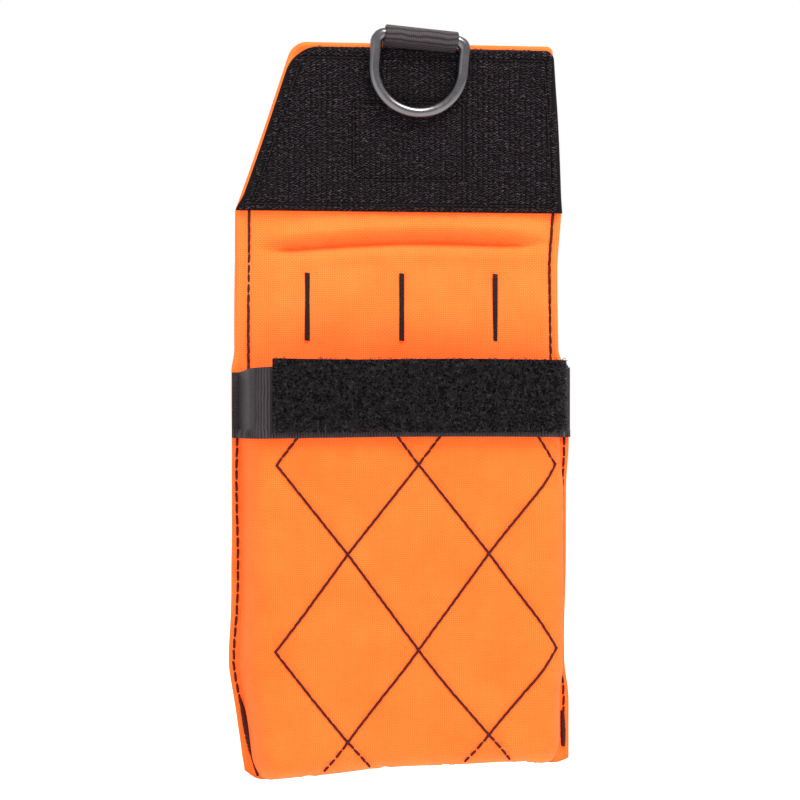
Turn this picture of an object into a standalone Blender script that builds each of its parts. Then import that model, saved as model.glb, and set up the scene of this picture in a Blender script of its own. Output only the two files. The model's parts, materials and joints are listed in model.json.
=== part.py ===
"""Flap-top electrician's pouch that hangs on a belt.

A padded fabric pocket with a hook-and-loop flap, a D-ring on the flap's free edge and a webbing
belt loop on its back. The flap folds at two creases: up over the mouth, then down the front.

The origin is the middle of the belt tunnel. +Z is up and -Y is the front of the pouch. The pieces
are placed from an empty at the bottom of the pouch, on the inner face of its back, so heights
below are heights above the bottom and depths run backwards from that inner face.
"""

import math

import bmesh
import bpy
from mathutils import Vector

MM = 0.001
GAP = 0.3 * MM                  # between sheets that are sewn together

# Cloth, webbing and padding thicknesses
SHELL = 0.8 * MM                # coated nylon outer cloth
LINING = 0.6 * MM
BACK_PADDING = 2.0 * MM
FRONT_PADDING = 1.5 * MM
FLAP_LINING = 1.2 * MM
HOOK_SHEET = 1.5 * MM
LOOP_TAPE = 1.8 * MM            # tape with its pile
BAND = 0.8 * MM
BELT_WEBBING = 1.6 * MM
TAB_WEBBING = 0.95 * MM
PATCH = 1.5 * MM

# Pocket
PANEL_WIDTH = 113.0 * MM        # over both seam allowances
SEAM_ALLOWANCE = 4.0 * MM
POCKET_DEPTH = 13.5 * MM        # clear inside
MOUTH_HEIGHT = 135.5 * MM
CORNER_RADIUS = 8.0 * MM
BOTTOM_RADIUS = 6.0 * MM
PADDING_INSET = 9.0 * MM
PADDING_TOP = 108.0 * MM

# Mouth band and loop tape
BAND_HEIGHT = 23.0 * MM
BAND_ABOVE_MOUTH = 1.1 * MM
LOOP_TAPE_HEIGHT = 24.0 * MM
LOOP_TAPE_ABOVE_BAND = 2.6 * MM
LOOP_TAPE_LEFT_INSET = 11.5 * MM
LOOP_TAPE_RIGHT_INSET = 3.5 * MM

# Back panel
BACK_ABOVE_MOUTH = 36.5 * MM    # mouth to the back crease
NECK_INSET = 2.7 * MM           # how much narrower each side is above the mouth
NECK_RISE = 7.0 * MM
BACK_CORNER = 7.0 * MM

# Flap, from the back crease up
FLAP_REACH = 72.4 * MM          # back crease to free edge
FLAP_SHOULDER = 16.2 * MM       # back crease to where the sides start to lean
FLAP_FLARE = 1.0 * MM
FLAP_LEFT_LEAN = 17.6 * MM      # how far the free edge's corners stand in from the shoulders
FLAP_RIGHT_LEAN = 3.4 * MM
FLAP_LEFT_CORNER = 4.0 * MM
FLAP_RIGHT_CORNER = 2.0 * MM
FOLD_CLEARANCE = 0.2 * MM
HOOK_EDGE = 0.9 * MM            # shell showing beside the hook sheet
HOOK_TOP_EDGE = 2.6 * MM        # and above it
HOOK_LEFT_CORNER = 8.0 * MM
HOOK_RIGHT_CORNER = 3.0 * MM

# D-ring and its tab
RING_WIRE = 4.0 * MM
RING_HEIGHT = 29.0 * MM         # outside
RING_BESIDE_TAB = 0.3 * MM      # tab's edge to where the wire starts to bend
RING_SHOULDER = 2.8 * MM        # bend radius at the wire's centre
RING_BAR_ABOVE_EDGE = 1.2 * MM
RING_CLEAR_OF_HOOK = 1.2 * MM
RING_OFF_CENTRE = 6.0 * MM
RING_TILT = math.radians(5.0)
TAB_WIDTH = 23.4 * MM
TAB_CLEARANCE = 0.2 * MM        # round the bar
TAB_TAIL = 13.0 * MM
TAB_NOTCH_CLEARANCE = 0.6 * MM

# Patch on the flap's outer face
PATCH_WIDTH = 38.0 * MM
PATCH_HEIGHT = 30.0 * MM
PATCH_CORNER = 3.0 * MM
PATCH_BELOW_EDGE = 31.5 * MM    # free edge to the patch's middle
PATCH_OFF_CENTRE = 3.0 * MM

# Belt loop
BELT_LOOP_BELOW_CREASE = 3.0 * MM
BELT_LOOP_WIDTH = 75.0 * MM
BELT_OPENING = 52.0 * MM        # where the strap stands clear by its whole gap
BELT_GAP = 6.0 * MM
BELT_RAMP = 6.0 * MM
BELT_END = 25.0 * MM
BELT_TACK_SPACING = 31.5 * MM
BELT_TACK_INSET = 1.5 * MM
BELT_TACK_WIDTH = 2.6 * MM

# Thread
THREAD = 0.5 * MM
TACK_THICKNESS = 0.8 * MM
SIDE_TACK_LENGTH = 22.0 * MM
SIDE_TACK_WIDTH = 2.2 * MM
DIAMOND_WIDTH = 46.4 * MM
DIAMOND_HEIGHT = 59.4 * MM
DIAMOND_BASE = 16.0 * MM        # lowest crossing above the bottom
DIAMOND_OFF_CENTRE = 3.0 * MM
# Where each thread is at the crossing heights from the top down, in half diamonds from the middle.
# The first and last lie beyond the quilted height, and say which way its ends run.
ZIGZAGS = (
    (-1, -2, -1, 0, 1, 2),
    (-1, 0, 1, 2, 1, 0),
    (1, 0, -1, -2, -1, 0),
    (1, 2, 1, 0, -1, -2),
)

# What follows from those
HALF = PANEL_WIDTH / 2
BACK_HEIGHT = MOUTH_HEIGHT + BACK_ABOVE_MOUTH       # up to the back crease
WALL_HALF = HALF - SEAM_ALLOWANCE                   # outside of the pocket's side wall
LINING_FACE = POCKET_DEPTH + LINING                 # depths of outer faces, forwards
PADDING_FACE = LINING_FACE + GAP + FRONT_PADDING
FRONT_FACE = PADDING_FACE + GAP + SHELL
BAND_FACE = FRONT_FACE + GAP + BAND
TAPE_FACE = BAND_FACE + GAP + LOOP_TAPE
LINING_FLANGE = GAP + LINING                        # outer faces of the seam allowances
SHELL_FLANGE = LINING_FLANGE + GAP + SHELL
BAND_FLANGE = SHELL_FLANGE + GAP + BAND
BACK_FACE = LINING + GAP + BACK_PADDING + GAP + SHELL   # depth of the back's outer face
HOOK_FACE = GAP + HOOK_SHEET
RING_STANDOFF = RING_CLEAR_OF_HOOK + RING_WIRE / 2  # hook face to the bar's centre
TAB_INSIDE = RING_WIRE / 2 + TAB_CLEARANCE
TAB_OUTSIDE = TAB_INSIDE + TAB_WEBBING
BRIDGE_LENGTH = TAPE_FACE + 0.4 * MM + RING_STANDOFF + TAB_OUTSIDE   # between the two creases
FREE_EDGE = BACK_HEIGHT + FLAP_REACH
FRONT_CREASE = BACK_HEIGHT + BRIDGE_LENGTH
RING_BAR_HEIGHT = FREE_EDGE + RING_BAR_ABOVE_EDGE
HOOK_START = BACK_HEIGHT + FLAP_SHOULDER
SEAM_AT = (HALF + WALL_HALF) / 2
RING_HALF = TAB_WIDTH / 2 + RING_BESIDE_TAB + RING_SHOULDER  # middle to the wire's centre
BELT_REACH = BELT_OPENING / 2 + BELT_RAMP           # middle of the belt loop to its sewn ends
BELT_CENTRE_HEIGHT = BACK_HEIGHT - BELT_LOOP_BELOW_CREASE - BELT_END - BELT_REACH
BELT_TUNNEL_DEPTH = BACK_FACE + (GAP + BELT_GAP) / 2

CORNER_STEPS = 5


def clear_scene():
    """Removes every object, so that only the pouch is left."""
    for obj in list(bpy.data.objects):
        bpy.data.objects.remove(obj)


def linear(channel):
    return channel / 12.92 if channel <= 0.04045 else ((channel + 0.055) / 1.055) ** 2.4


def make_material(name, hex_colour, roughness, metallic=0.0):
    """A plain Principled material."""
    material = bpy.data.materials.new(name)
    material.use_nodes = True
    shader = material.node_tree.nodes["Principled BSDF"]
    channels = [int(hex_colour[i : i + 2], 16) / 255 for i in (0, 2, 4)]
    shader.inputs["Base Color"].default_value = (*map(linear, channels), 1.0)
    shader.inputs["Roughness"].default_value = roughness
    shader.inputs["Metallic"].default_value = metallic
    return material


def make_empty(name, location, parent=None, tilt=0.0):
    empty = bpy.data.objects.new(name, None)
    POUCH.objects.link(empty)
    empty.parent = parent
    empty.location = location
    empty.rotation_euler = (0.0, tilt, 0.0)
    return empty


def add(name, data, material, parent, location=(0, 0, 0), rotation=(0, 0, 0)):
    """Links a piece under its empty, with its material."""
    obj = bpy.data.objects.new(name, data)
    POUCH.objects.link(obj)
    obj.parent = parent
    obj.location = location
    obj.rotation_euler = rotation
    data.materials.append(material)
    return obj


def filleted(corners, closed=True):
    """Points of a polygon or a path whose corners (a, b, radius) are rounded by arcs."""
    points = []
    count = len(corners)
    for i, (a, b, radius) in enumerate(corners):
        corner = Vector((a, b))
        if radius <= 0 or (not closed and i in (0, count - 1)):
            points.append(corner)
            continue
        before = (Vector(corners[i - 1][:2]) - corner).normalized()
        after = (Vector(corners[(i + 1) % count][:2]) - corner).normalized()
        half_angle = before.angle(after) / 2
        centre = corner + (before + after).normalized() * radius / math.sin(half_angle)
        start = corner + before * radius / math.tan(half_angle) - centre
        sweep = start.angle_signed(corner + after * radius / math.tan(half_angle) - centre)
        for step in range(CORNER_STEPS + 1):
            turn = -sweep * step / CORNER_STEPS
            c, s = math.cos(turn), math.sin(turn)
            points.append(centre + Vector((start.x * c - start.y * s, start.x * s + start.y * c)))
    return points


def flat_curve(name, outlines, thickness):
    """A 2D curve filled between its outlines and extruded both ways by half its thickness."""
    curve = bpy.data.curves.new(name, "CURVE")
    curve.dimensions = "2D"
    curve.fill_mode = "BOTH"
    curve.extrude = thickness / 2
    for outline in outlines:
        spline = curve.splines.new("POLY")
        spline.points.add(len(outline) - 1)
        for point, (a, b) in zip(spline.points, outline):
            point.co = (a, b, 0.0, 1.0)
        spline.use_cyclic_u = True
    return curve


def cloth(name, outline, front, thickness, material, parent, base=0.0):
    """A flat sheet that stands in the XZ plane, from depth front backwards.

    The outline's heights are above the bottom of the pouch, and base is the parent's height.
    """
    lowered = [(x, z - base) for x, z in outline]
    curve = flat_curve(name, [lowered], thickness)
    return add(name, curve, material, parent, (0, front + thickness / 2, 0), (math.pi / 2, 0, 0))


def thread(name, points, material, parent, radius=THREAD / 2):
    """A thread along a path of points (x, y, z)."""
    curve = bpy.data.curves.new(name, "CURVE")
    curve.dimensions = "3D"
    curve.bevel_depth = radius
    curve.bevel_resolution = 1
    curve.use_fill_caps = True
    spline = curve.splines.new("POLY")
    spline.points.add(len(points) - 1)
    for point, place in zip(spline.points, points):
        point.co = (*place, 1.0)
    return add(name, curve, material, parent)


def block(name, size, centre, material, parent, lean=0.0, edge=0.3 * MM):
    """A small block with eased edges, such as a dense bar of stitches."""
    mesh = bpy.data.meshes.new(name)
    shape = bmesh.new()
    bmesh.ops.create_cube(shape, size=1.0)
    bmesh.ops.scale(shape, vec=size, verts=shape.verts)
    bmesh.ops.bevel(shape, geom=shape.edges, offset=edge, segments=1, affect="EDGES")
    shape.to_mesh(mesh)
    shape.free()
    return add(name, mesh, material, parent, centre, (0, lean, 0))


def pocket_path(inset, face):
    """The line round the pocket at one height, from the left seam round the front to the right.

    inset is how far the line lies inside the outermost cloth, and face is its depth in front.
    """
    half = WALL_HALF - inset
    radius = CORNER_RADIUS - inset
    corners = [(-half, 0, 0), (-half, -face, radius), (half, -face, radius), (half, 0, 0)]
    return filleted(corners, closed=False)


def pocket_wall(name, rows, flange_face, thickness, material, closed_bottom):
    """A wall round the pocket, lofted through rows of (inset, face, height), with a seam
    allowance turned out along each side, and a flat bottom if it is closed.

    The surface is the outer one, and Solidify gives it its thickness inwards.
    """
    shape = bmesh.new()
    lines = []
    for inset, face, height in rows:
        points = pocket_path(inset, face)
        places = [(p.x, min(p.y, -flange_face), height) for p in points]
        lines.append([shape.verts.new(place) for place in places])
    for upper, lower in zip(lines, lines[1:]):
        for i in range(len(upper) - 1):
            shape.faces.new((upper[i], lower[i], lower[i + 1], upper[i + 1]))
    if closed_bottom:
        shape.faces.new(lines[-1][::-1])
    upright = [line for line, row in zip(lines, rows) if row[0] == rows[0][0]]
    for side, end in ((-1, 0), (1, -1)):
        tips = [shape.verts.new((side * HALF, -flange_face, line[end].co.z)) for line in upright]
        for i in range(len(upright) - 1):
            near = (upright[i][end], upright[i + 1][end], tips[i + 1], tips[i])
            shape.faces.new(near if side > 0 else near[::-1])
    bmesh.ops.recalc_face_normals(shape, faces=shape.faces)
    front = max(shape.faces, key=lambda face: face.calc_area())
    if front.normal.y > 0:
        bmesh.ops.reverse_faces(shape, faces=shape.faces)
    mesh = bpy.data.meshes.new(name)
    shape.to_mesh(mesh)
    shape.free()
    wall = add(name, mesh, material, POUCH_BASE)
    solidify = wall.modifiers.new("Cloth thickness", "SOLIDIFY")
    solidify.thickness = thickness
    solidify.offset = -1.0
    solidify.use_even_offset = True
    return wall


def rounded_bottom(inset, face, bottom, top):
    """Rows from the top of a pocket wall down and round its bottom edge."""
    radius = BOTTOM_RADIUS
    rows = [(inset, face, top), (inset, face, bottom + radius)]
    for step in range(1, CORNER_STEPS + 1):
        angle = math.pi / 2 * step / CORNER_STEPS
        inward = radius * (1 - math.cos(angle))
        rows.append((inset + inward, face - inward, bottom + radius * (1 - math.sin(angle))))
    return rows


def flap_edge(side, height):
    """The flap's side edge at a height above the bottom of the pouch."""
    neck = HALF - NECK_INSET
    if height <= HOOK_START:
        share = (height - BACK_HEIGHT) / FLAP_SHOULDER
        return side * (neck + FLAP_FLARE * share)
    lean = FLAP_LEFT_LEAN if side < 0 else FLAP_RIGHT_LEAN
    share = (height - HOOK_START) / (FREE_EDGE - HOOK_START)
    return side * (neck + FLAP_FLARE - lean * share)


def back_outline(inset=0.0):
    """The back panel, narrower above the mouth, with rounded lower corners."""
    half = HALF - inset
    neck = half - NECK_INSET
    top = BACK_HEIGHT - FOLD_CLEARANCE - inset
    return filleted(
        [
            (-half, inset, BACK_CORNER),
            (half, inset, BACK_CORNER),
            (half, MOUTH_HEIGHT, 4 * MM),
            (neck, MOUTH_HEIGHT + NECK_RISE, 4 * MM),
            (neck, top, 0),
            (-neck, top, 0),
            (-neck, MOUTH_HEIGHT + NECK_RISE, 4 * MM),
            (-half, MOUTH_HEIGHT, 4 * MM),
        ]
    )


def flap_outline(bottom, top, inset=0.0, left_corner=0.0, right_corner=0.0, notch=None):
    """Part of the flap between two heights, with its corners rounded where it ends in the free
    edge, and a notch in its top edge for the tab's tail if one is given."""
    shoulder = [HOOK_START] if bottom < HOOK_START < top else []
    right = [(flap_edge(1, z) - inset, z, 0) for z in [bottom, *shoulder, top]]
    left = [(flap_edge(-1, z) + inset, z, 0) for z in [top, *reversed(shoulder), bottom]]
    right[-1] = (*right[-1][:2], right_corner)
    left[0] = (*left[0][:2], left_corner)
    cut = []
    if notch:
        middle, half, depth = notch
        cut = [
            (middle + half, top, 0),
            (middle + half, top - depth, 0),
            (middle - half, top - depth, 0),
            (middle - half, top, 0),
        ]
    return filleted([*right, *cut, *left])


def make_back():
    """Outer cloth, padding and lining of the back, up to the back crease."""
    cloth("back_lining", back_outline(), 0, LINING, ORANGE_LINING, POUCH_BASE)
    padding_at = LINING + GAP
    cloth("back_padding", back_outline(PADDING_INSET), padding_at, BACK_PADDING, FOAM, POUCH_BASE)
    cloth("back_shell", back_outline(), BACK_FACE - SHELL, SHELL, ORANGE, POUCH_BASE)


def make_pocket():
    """The pocket's outer cloth, its padding behind the quilting, and its lining."""
    lining_inset = SHELL + GAP
    lining_bottom = SHELL + GAP + FRONT_PADDING + GAP
    shell_rows = rounded_bottom(0.0, FRONT_FACE, 0.0, MOUTH_HEIGHT)
    lining_rows = rounded_bottom(lining_inset, LINING_FACE, lining_bottom, MOUTH_HEIGHT)
    pocket_wall("front_shell", shell_rows, SHELL_FLANGE, SHELL, ORANGE, True)
    pocket_wall("front_lining", lining_rows, LINING_FLANGE, LINING, ORANGE_LINING, True)
    half = WALL_HALF - PADDING_INSET
    low = PADDING_INSET
    corners = [(-half, low), (half, low), (half, PADDING_TOP), (-half, PADDING_TOP)]
    outline = filleted([(x, z, CORNER_RADIUS) for x, z in corners])
    cloth("front_padding", outline, -PADDING_FACE, FRONT_PADDING, FOAM, POUCH_BASE)


def make_mouth():
    """The band round the mouth and the loop tape on its front."""
    top = MOUTH_HEIGHT + BAND_ABOVE_MOUTH
    outside = -(GAP + BAND)
    rows = [(outside, BAND_FACE, top), (outside, BAND_FACE, top - BAND_HEIGHT)]
    pocket_wall("mouth_band", rows, BAND_FLANGE, BAND, BLACK_WEBBING, False)
    left = -(WALL_HALF - LOOP_TAPE_LEFT_INSET)
    right = WALL_HALF - LOOP_TAPE_RIGHT_INSET
    high = top + LOOP_TAPE_ABOVE_BAND
    low = high - LOOP_TAPE_HEIGHT
    corners = [(left, low), (right, low), (right, high), (left, high)]
    outline = filleted([(x, z, 1.5 * MM) for x, z in corners])
    cloth("loop_tape", outline, -TAPE_FACE, LOOP_TAPE, BLACK_PILE, POUCH_BASE)


def make_belt_loop():
    """A wide webbing strap that stands off the back between its two sewn ends."""
    flat = BACK_FACE + GAP + BELT_WEBBING
    proud = flat + BELT_GAP
    path = filleted(
        [
            (flat, BELT_REACH + BELT_END, 0),
            (flat, BELT_REACH, 3 * MM),
            (proud, BELT_OPENING / 2, 4 * MM),
            (proud, -BELT_OPENING / 2, 4 * MM),
            (flat, -BELT_REACH, 3 * MM),
            (flat, -BELT_REACH - BELT_END, 0),
        ],
        closed=False,
    )
    shape = bmesh.new()
    half = BELT_LOOP_WIDTH / 2
    edges = [[shape.verts.new((x, y, z)) for y, z in path] for x in (-half, half)]
    for i in range(len(path) - 1):
        shape.faces.new((edges[0][i], edges[1][i], edges[1][i + 1], edges[0][i + 1]))
    bmesh.ops.recalc_face_normals(shape, faces=shape.faces)
    if next(iter(shape.faces)).normal.y < 0:
        bmesh.ops.reverse_faces(shape, faces=shape.faces)
    mesh = bpy.data.meshes.new("belt_loop")
    shape.to_mesh(mesh)
    shape.free()
    strap = add("belt_loop", mesh, BLACK_WEBBING, POUCH_BASE, (0, 0, BELT_CENTRE_HEIGHT))
    solidify = strap.modifiers.new("Webbing thickness", "SOLIDIFY")
    solidify.thickness = BELT_WEBBING
    solidify.offset = -1.0
    solidify.use_even_offset = True
    length = BELT_END - 2 * BELT_TACK_INSET
    depth = flat + GAP + TACK_THICKNESS / 2
    for row, side in (("upper", 1), ("lower", -1)):
        height = BELT_CENTRE_HEIGHT + side * (BELT_REACH + BELT_END / 2)
        for column, place in (("left", -1), ("middle", 0), ("right", 1)):
            centre = (place * BELT_TACK_SPACING, depth, height)
            size = (BELT_TACK_WIDTH, TACK_THICKNESS, length)
            block(f"belt_tack_{row}_{column}", size, centre, BLACK_THREAD, POUCH_BASE)


def make_side_seams():
    """The seam thread down each side, and the dense bar of stitches that ends it."""
    on_shell = -(SHELL_FLANGE + GAP + THREAD / 2)
    on_lining = -(GAP + THREAD / 2)
    band_bottom = MOUTH_HEIGHT + BAND_ABOVE_MOUTH - BAND_HEIGHT
    tack_top = BOTTOM_RADIUS + 1 * MM + SIDE_TACK_LENGTH
    neck_seam = SEAM_AT - NECK_INSET
    low_z = MOUTH_HEIGHT + BAND_ABOVE_MOUTH + 1.5 * MM
    for side, name in ((-1, "left"), (1, "right")):
        x = side * SEAM_AT
        points = [(x, on_shell, band_bottom - 1 * MM), (x, on_shell, tack_top + 0.5 * MM)]
        thread(f"pocket_seam_{name}", points, BLACK_THREAD, POUCH_BASE)
        neck = side * neck_seam
        points = [
            (x, on_lining, low_z),
            (neck, on_lining, MOUTH_HEIGHT + NECK_RISE),
            (neck, on_lining, BACK_HEIGHT - 1 * MM),
        ]
        thread(f"neck_seam_{name}", points, BLACK_THREAD, POUCH_BASE)
        centre = (x, -(SHELL_FLANGE + GAP + TACK_THICKNESS / 2), tack_top - SIDE_TACK_LENGTH / 2)
        size = (SIDE_TACK_WIDTH, TACK_THICKNESS, SIDE_TACK_LENGTH)
        block(f"bar_tack_{name}", size, centre, BLACK_THREAD, POUCH_BASE)


def on_front(across, height, lift):
    """A place in front of the pocket's outer cloth, at a distance across from its middle that is
    measured along the cloth, so that it goes round the corners with it."""
    flat = WALL_HALF - CORNER_RADIUS
    radius = CORNER_RADIUS + lift
    side = -1 if across < 0 else 1
    beyond = max(0.0, abs(across) - flat)
    turn = beyond / CORNER_RADIUS
    x = side * (min(abs(across), flat) + radius * math.sin(turn))
    return (x, -(FRONT_FACE - CORNER_RADIUS) - radius * math.cos(turn), height)


def make_quilting():
    """Four zigzag threads that cross one another on the front and make the diamonds."""
    top = MOUTH_HEIGHT + BAND_ABOVE_MOUTH - BAND_HEIGHT - 0.8 * MM
    low = BOTTOM_RADIUS + 0.5 * MM
    half_high = DIAMOND_HEIGHT / 2
    heights = [DIAMOND_BASE + half_high * (3 - n) for n in range(-1, 5)]
    on_cloth = GAP + THREAD / 2
    over = on_cloth + GAP + THREAD
    for index, columns in enumerate(ZIGZAGS):
        points = []
        for n in range(5):
            crossed = any(other[n] == columns[n] for other in ZIGZAGS[:index])
            for share in (0.0, 0.1, 0.3, 0.5, 0.7, 0.9):
                height = heights[n] + (heights[n + 1] - heights[n]) * share
                if not low <= height <= top:
                    continue
                column = columns[n] + (columns[n + 1] - columns[n]) * share
                across = DIAMOND_OFF_CENTRE + column * DIAMOND_WIDTH / 2
                lift = over if crossed and share == 0.0 else on_cloth
                points.append(on_front(across, height, lift))
        thread(f"quilting_thread_{index + 1}", points, BLACK_THREAD, POUCH_BASE)


def make_flap_bridge():
    """The part of the flap between its two creases, with the hook sheet's lower strip."""
    low = BACK_HEIGHT + FOLD_CLEARANCE
    high = FRONT_CREASE - FOLD_CLEARANCE
    shell_at = FLAP_LINING + GAP
    outline = flap_outline(low, high)
    cloth("bridge_shell", outline, shell_at, SHELL, ORANGE, BRIDGE_PIVOT, BACK_HEIGHT)
    cloth("bridge_lining", outline, 0, FLAP_LINING, ORANGE_LINING, BRIDGE_PIVOT, BACK_HEIGHT)
    strip = flap_outline(HOOK_START, high, HOOK_EDGE)
    cloth("hook_strip", strip, -HOOK_FACE, HOOK_SHEET, BLACK_HOOK, BRIDGE_PIVOT, BACK_HEIGHT)
    for side, name in ((-1, "left"), (1, "right")):
        depth = -(GAP + THREAD / 2)
        inset = side * (HALF - SEAM_AT)
        ends = (low + 0.8 * MM, HOOK_START - 0.8 * MM)
        points = [(flap_edge(side, z) - inset, depth, z - BACK_HEIGHT) for z in ends]
        thread(f"bridge_seam_{name}", points, BLACK_THREAD, BRIDGE_PIVOT)


def make_flap():
    """The flap beyond the front crease: shell, lining with a notch for the tab, hook sheet,
    the patch on its outer face, and the threads that hold them."""
    low = FRONT_CREASE + FOLD_CLEARANCE
    forward = HOOK_FACE                     # the pivot lies on the hook face
    lean = math.sin(RING_TILT)
    notch_half = TAB_WIDTH / 2 + TAB_TAIL * lean + TAB_NOTCH_CLEARANCE
    notch_depth = TAB_TAIL + TAB_WIDTH / 2 * lean + TAB_NOTCH_CLEARANCE
    notch = (RING_OFF_CENTRE, notch_half, notch_depth)
    shell = flap_outline(low, FREE_EDGE, 0, FLAP_LEFT_CORNER, FLAP_RIGHT_CORNER)
    lining = flap_outline(low, FREE_EDGE, 0, FLAP_LEFT_CORNER, FLAP_RIGHT_CORNER, notch)
    hook_top = FREE_EDGE - HOOK_TOP_EDGE
    hook = flap_outline(low, hook_top, HOOK_EDGE, HOOK_LEFT_CORNER, HOOK_RIGHT_CORNER)
    shell_at = forward + FLAP_LINING + GAP
    cloth("flap_shell", shell, shell_at, SHELL, ORANGE, FLAP_PIVOT, FRONT_CREASE)
    cloth("flap_lining", lining, forward, FLAP_LINING, ORANGE_LINING, FLAP_PIVOT, FRONT_CREASE)
    cloth("hook_sheet", hook, 0, HOOK_SHEET, BLACK_HOOK, FLAP_PIVOT, FRONT_CREASE)

    half_wide, half_high = PATCH_WIDTH / 2, PATCH_HEIGHT / 2
    middle = FREE_EDGE - PATCH_BELOW_EDGE
    corners = [(-1, -1), (1, -1), (1, 1), (-1, 1)]
    outline = filleted(
        [(PATCH_OFF_CENTRE + a * half_wide, middle + b * half_high, PATCH_CORNER) for a, b in corners]
    )
    patch_at = shell_at + SHELL + GAP
    cloth("flap_patch", outline, patch_at, PATCH, BLACK_RUBBER, FLAP_PIVOT, FRONT_CREASE)

    depth = -(GAP + THREAD / 2)
    inset = HOOK_EDGE + 3.6 * MM
    seam_top = hook_top - 3.6 * MM
    heights = (low + 0.8 * MM, seam_top)
    left = [(flap_edge(-1, z) + inset, depth, z - FRONT_CREASE) for z in heights]
    right = [(flap_edge(1, z) - inset, depth, z - FRONT_CREASE) for z in heights]
    thread("hook_seam", [*left, *reversed(right)], BLACK_THREAD, FLAP_PIVOT)


def make_tab():
    """The webbing that wraps the D-ring's bar, with its sewn tail between lining and hook sheet."""
    centre = RING_STANDOFF                  # hook face to the bar's centre, towards the front
    tail_back = HOOK_FACE + TAB_WEBBING     # behind the bar, in the lining's notch
    tail_front = tail_back - TAB_WEBBING
    back, front = tail_back + centre, tail_front + centre
    tail_low = -(RING_BAR_HEIGHT - FREE_EDGE + TAB_TAIL)
    outer = []
    start, end = math.radians(20), math.radians(235)
    steps = 18
    for step in range(steps + 1):
        angle = start + (end - start) * step / steps
        outer.append((TAB_OUTSIDE * math.cos(angle), TAB_OUTSIDE * math.sin(angle)))
    neck = -RING_BAR_ABOVE_EDGE - HOOK_TOP_EDGE + 1.2 * MM
    outer += [(front - 0.02 * MM, neck), (front, neck - 0.4 * MM), (front, tail_low), (back, tail_low)]
    outer += [(back, neck + 1.0 * MM)]
    hole = []
    for step in range(16):
        angle = 2 * math.pi * step / 16
        hole.append((TAB_INSIDE * math.cos(angle), TAB_INSIDE * math.sin(angle)))
    curve = flat_curve("ring_tab", [outer, hole], TAB_WIDTH)
    add("ring_tab", curve, BLACK_WEBBING, TAB_PIVOT, rotation=(math.pi / 2, 0, math.pi / 2))


def make_ring():
    """The D-ring: a straight bar in the tab, two shoulders and a half-round bow."""
    half = RING_HALF
    drop = RING_HEIGHT - RING_WIRE
    points = []
    corners = [(-half, half - drop), (-half, 0), (half, 0), (half, half - drop)]
    for i, (x, z) in enumerate(corners):
        if i in (0, 3):
            points.append((x, 0, z))
            continue
        side = -1 if x < 0 else 1
        for step in range(CORNER_STEPS + 1):
            angle = math.pi / 2 * step / CORNER_STEPS
            if side < 0:
                along, up = -math.cos(angle), math.sin(angle)
            else:
                along, up = math.sin(angle), math.cos(angle)
            bend = (x - side * RING_SHOULDER + along * RING_SHOULDER, 0, (up - 1) * RING_SHOULDER)
            points.append(bend)
    steps = 18
    for step in range(1, steps):
        angle = math.pi * step / steps
        points.append((half * math.cos(angle), 0, -(drop - half) - half * math.sin(angle)))
    curve = bpy.data.curves.new("d_ring", "CURVE")
    curve.dimensions = "3D"
    curve.bevel_depth = RING_WIRE / 2
    curve.bevel_resolution = 3
    spline = curve.splines.new("POLY")
    spline.points.add(len(points) - 1)
    for point, place in zip(spline.points, points):
        point.co = (*place, 1.0)
    spline.use_cyclic_u = True
    add("d_ring", curve, STEEL, RING_PIVOT)


clear_scene()
POUCH = bpy.data.collections.new("Electrician pouch")
bpy.context.scene.collection.children.link(POUCH)

ORANGE = make_material("Orange coated nylon", "FF7A32", 0.75)
ORANGE_LINING = make_material("Orange nylon lining", "FF7228", 0.8)
FOAM = make_material("Grey foam", "6E6E6E", 0.9)
BLACK_WEBBING = make_material("Black webbing", "1C1A1C", 0.8)
BLACK_PILE = make_material("Black loop pile", "161516", 0.95)
BLACK_HOOK = make_material("Black hook tape", "201C20", 0.85)
BLACK_THREAD = make_material("Black bonded thread", "2A0E10", 0.6)
BLACK_RUBBER = make_material("Black rubber", "1A1A1B", 0.6)
STEEL = make_material("Black nickel steel", "6A6A6E", 0.3, 1.0)

POUCH_BASE = make_empty("pouch_base", (0, -BELT_TUNNEL_DEPTH, -BELT_CENTRE_HEIGHT))
BRIDGE_PIVOT = make_empty("bridge_pivot", (0, 0, BACK_HEIGHT), POUCH_BASE)
FLAP_PIVOT = make_empty("flap_pivot", (0, -HOOK_FACE, BRIDGE_LENGTH), BRIDGE_PIVOT)
RING_AT = (RING_OFF_CENTRE, -RING_STANDOFF, RING_BAR_HEIGHT - FRONT_CREASE)
TAB_PIVOT = make_empty("tab_pivot", RING_AT, FLAP_PIVOT, RING_TILT)
RING_PIVOT = make_empty("ring_pivot", RING_AT, FLAP_PIVOT, RING_TILT)

make_back()
make_pocket()
make_mouth()
make_belt_loop()
make_side_seams()
make_quilting()
make_flap_bridge()
make_flap()
make_tab()
make_ring()
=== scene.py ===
"""A quilted high-visibility belt pouch with a hook-and-loop flap, hung open in a white studio.

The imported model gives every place: heights and depths here are measured from its nodes, and the
cloth, webbing, threads and wire are made around them. Lengths are in metres unless a name says mm.
"""

import json
import logging
import math
from dataclasses import dataclass, field
from enum import Enum
from typing import Sequence

import bmesh
import bpy
import numpy as np
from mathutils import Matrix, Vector
from mathutils.bvhtree import BVHTree

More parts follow.
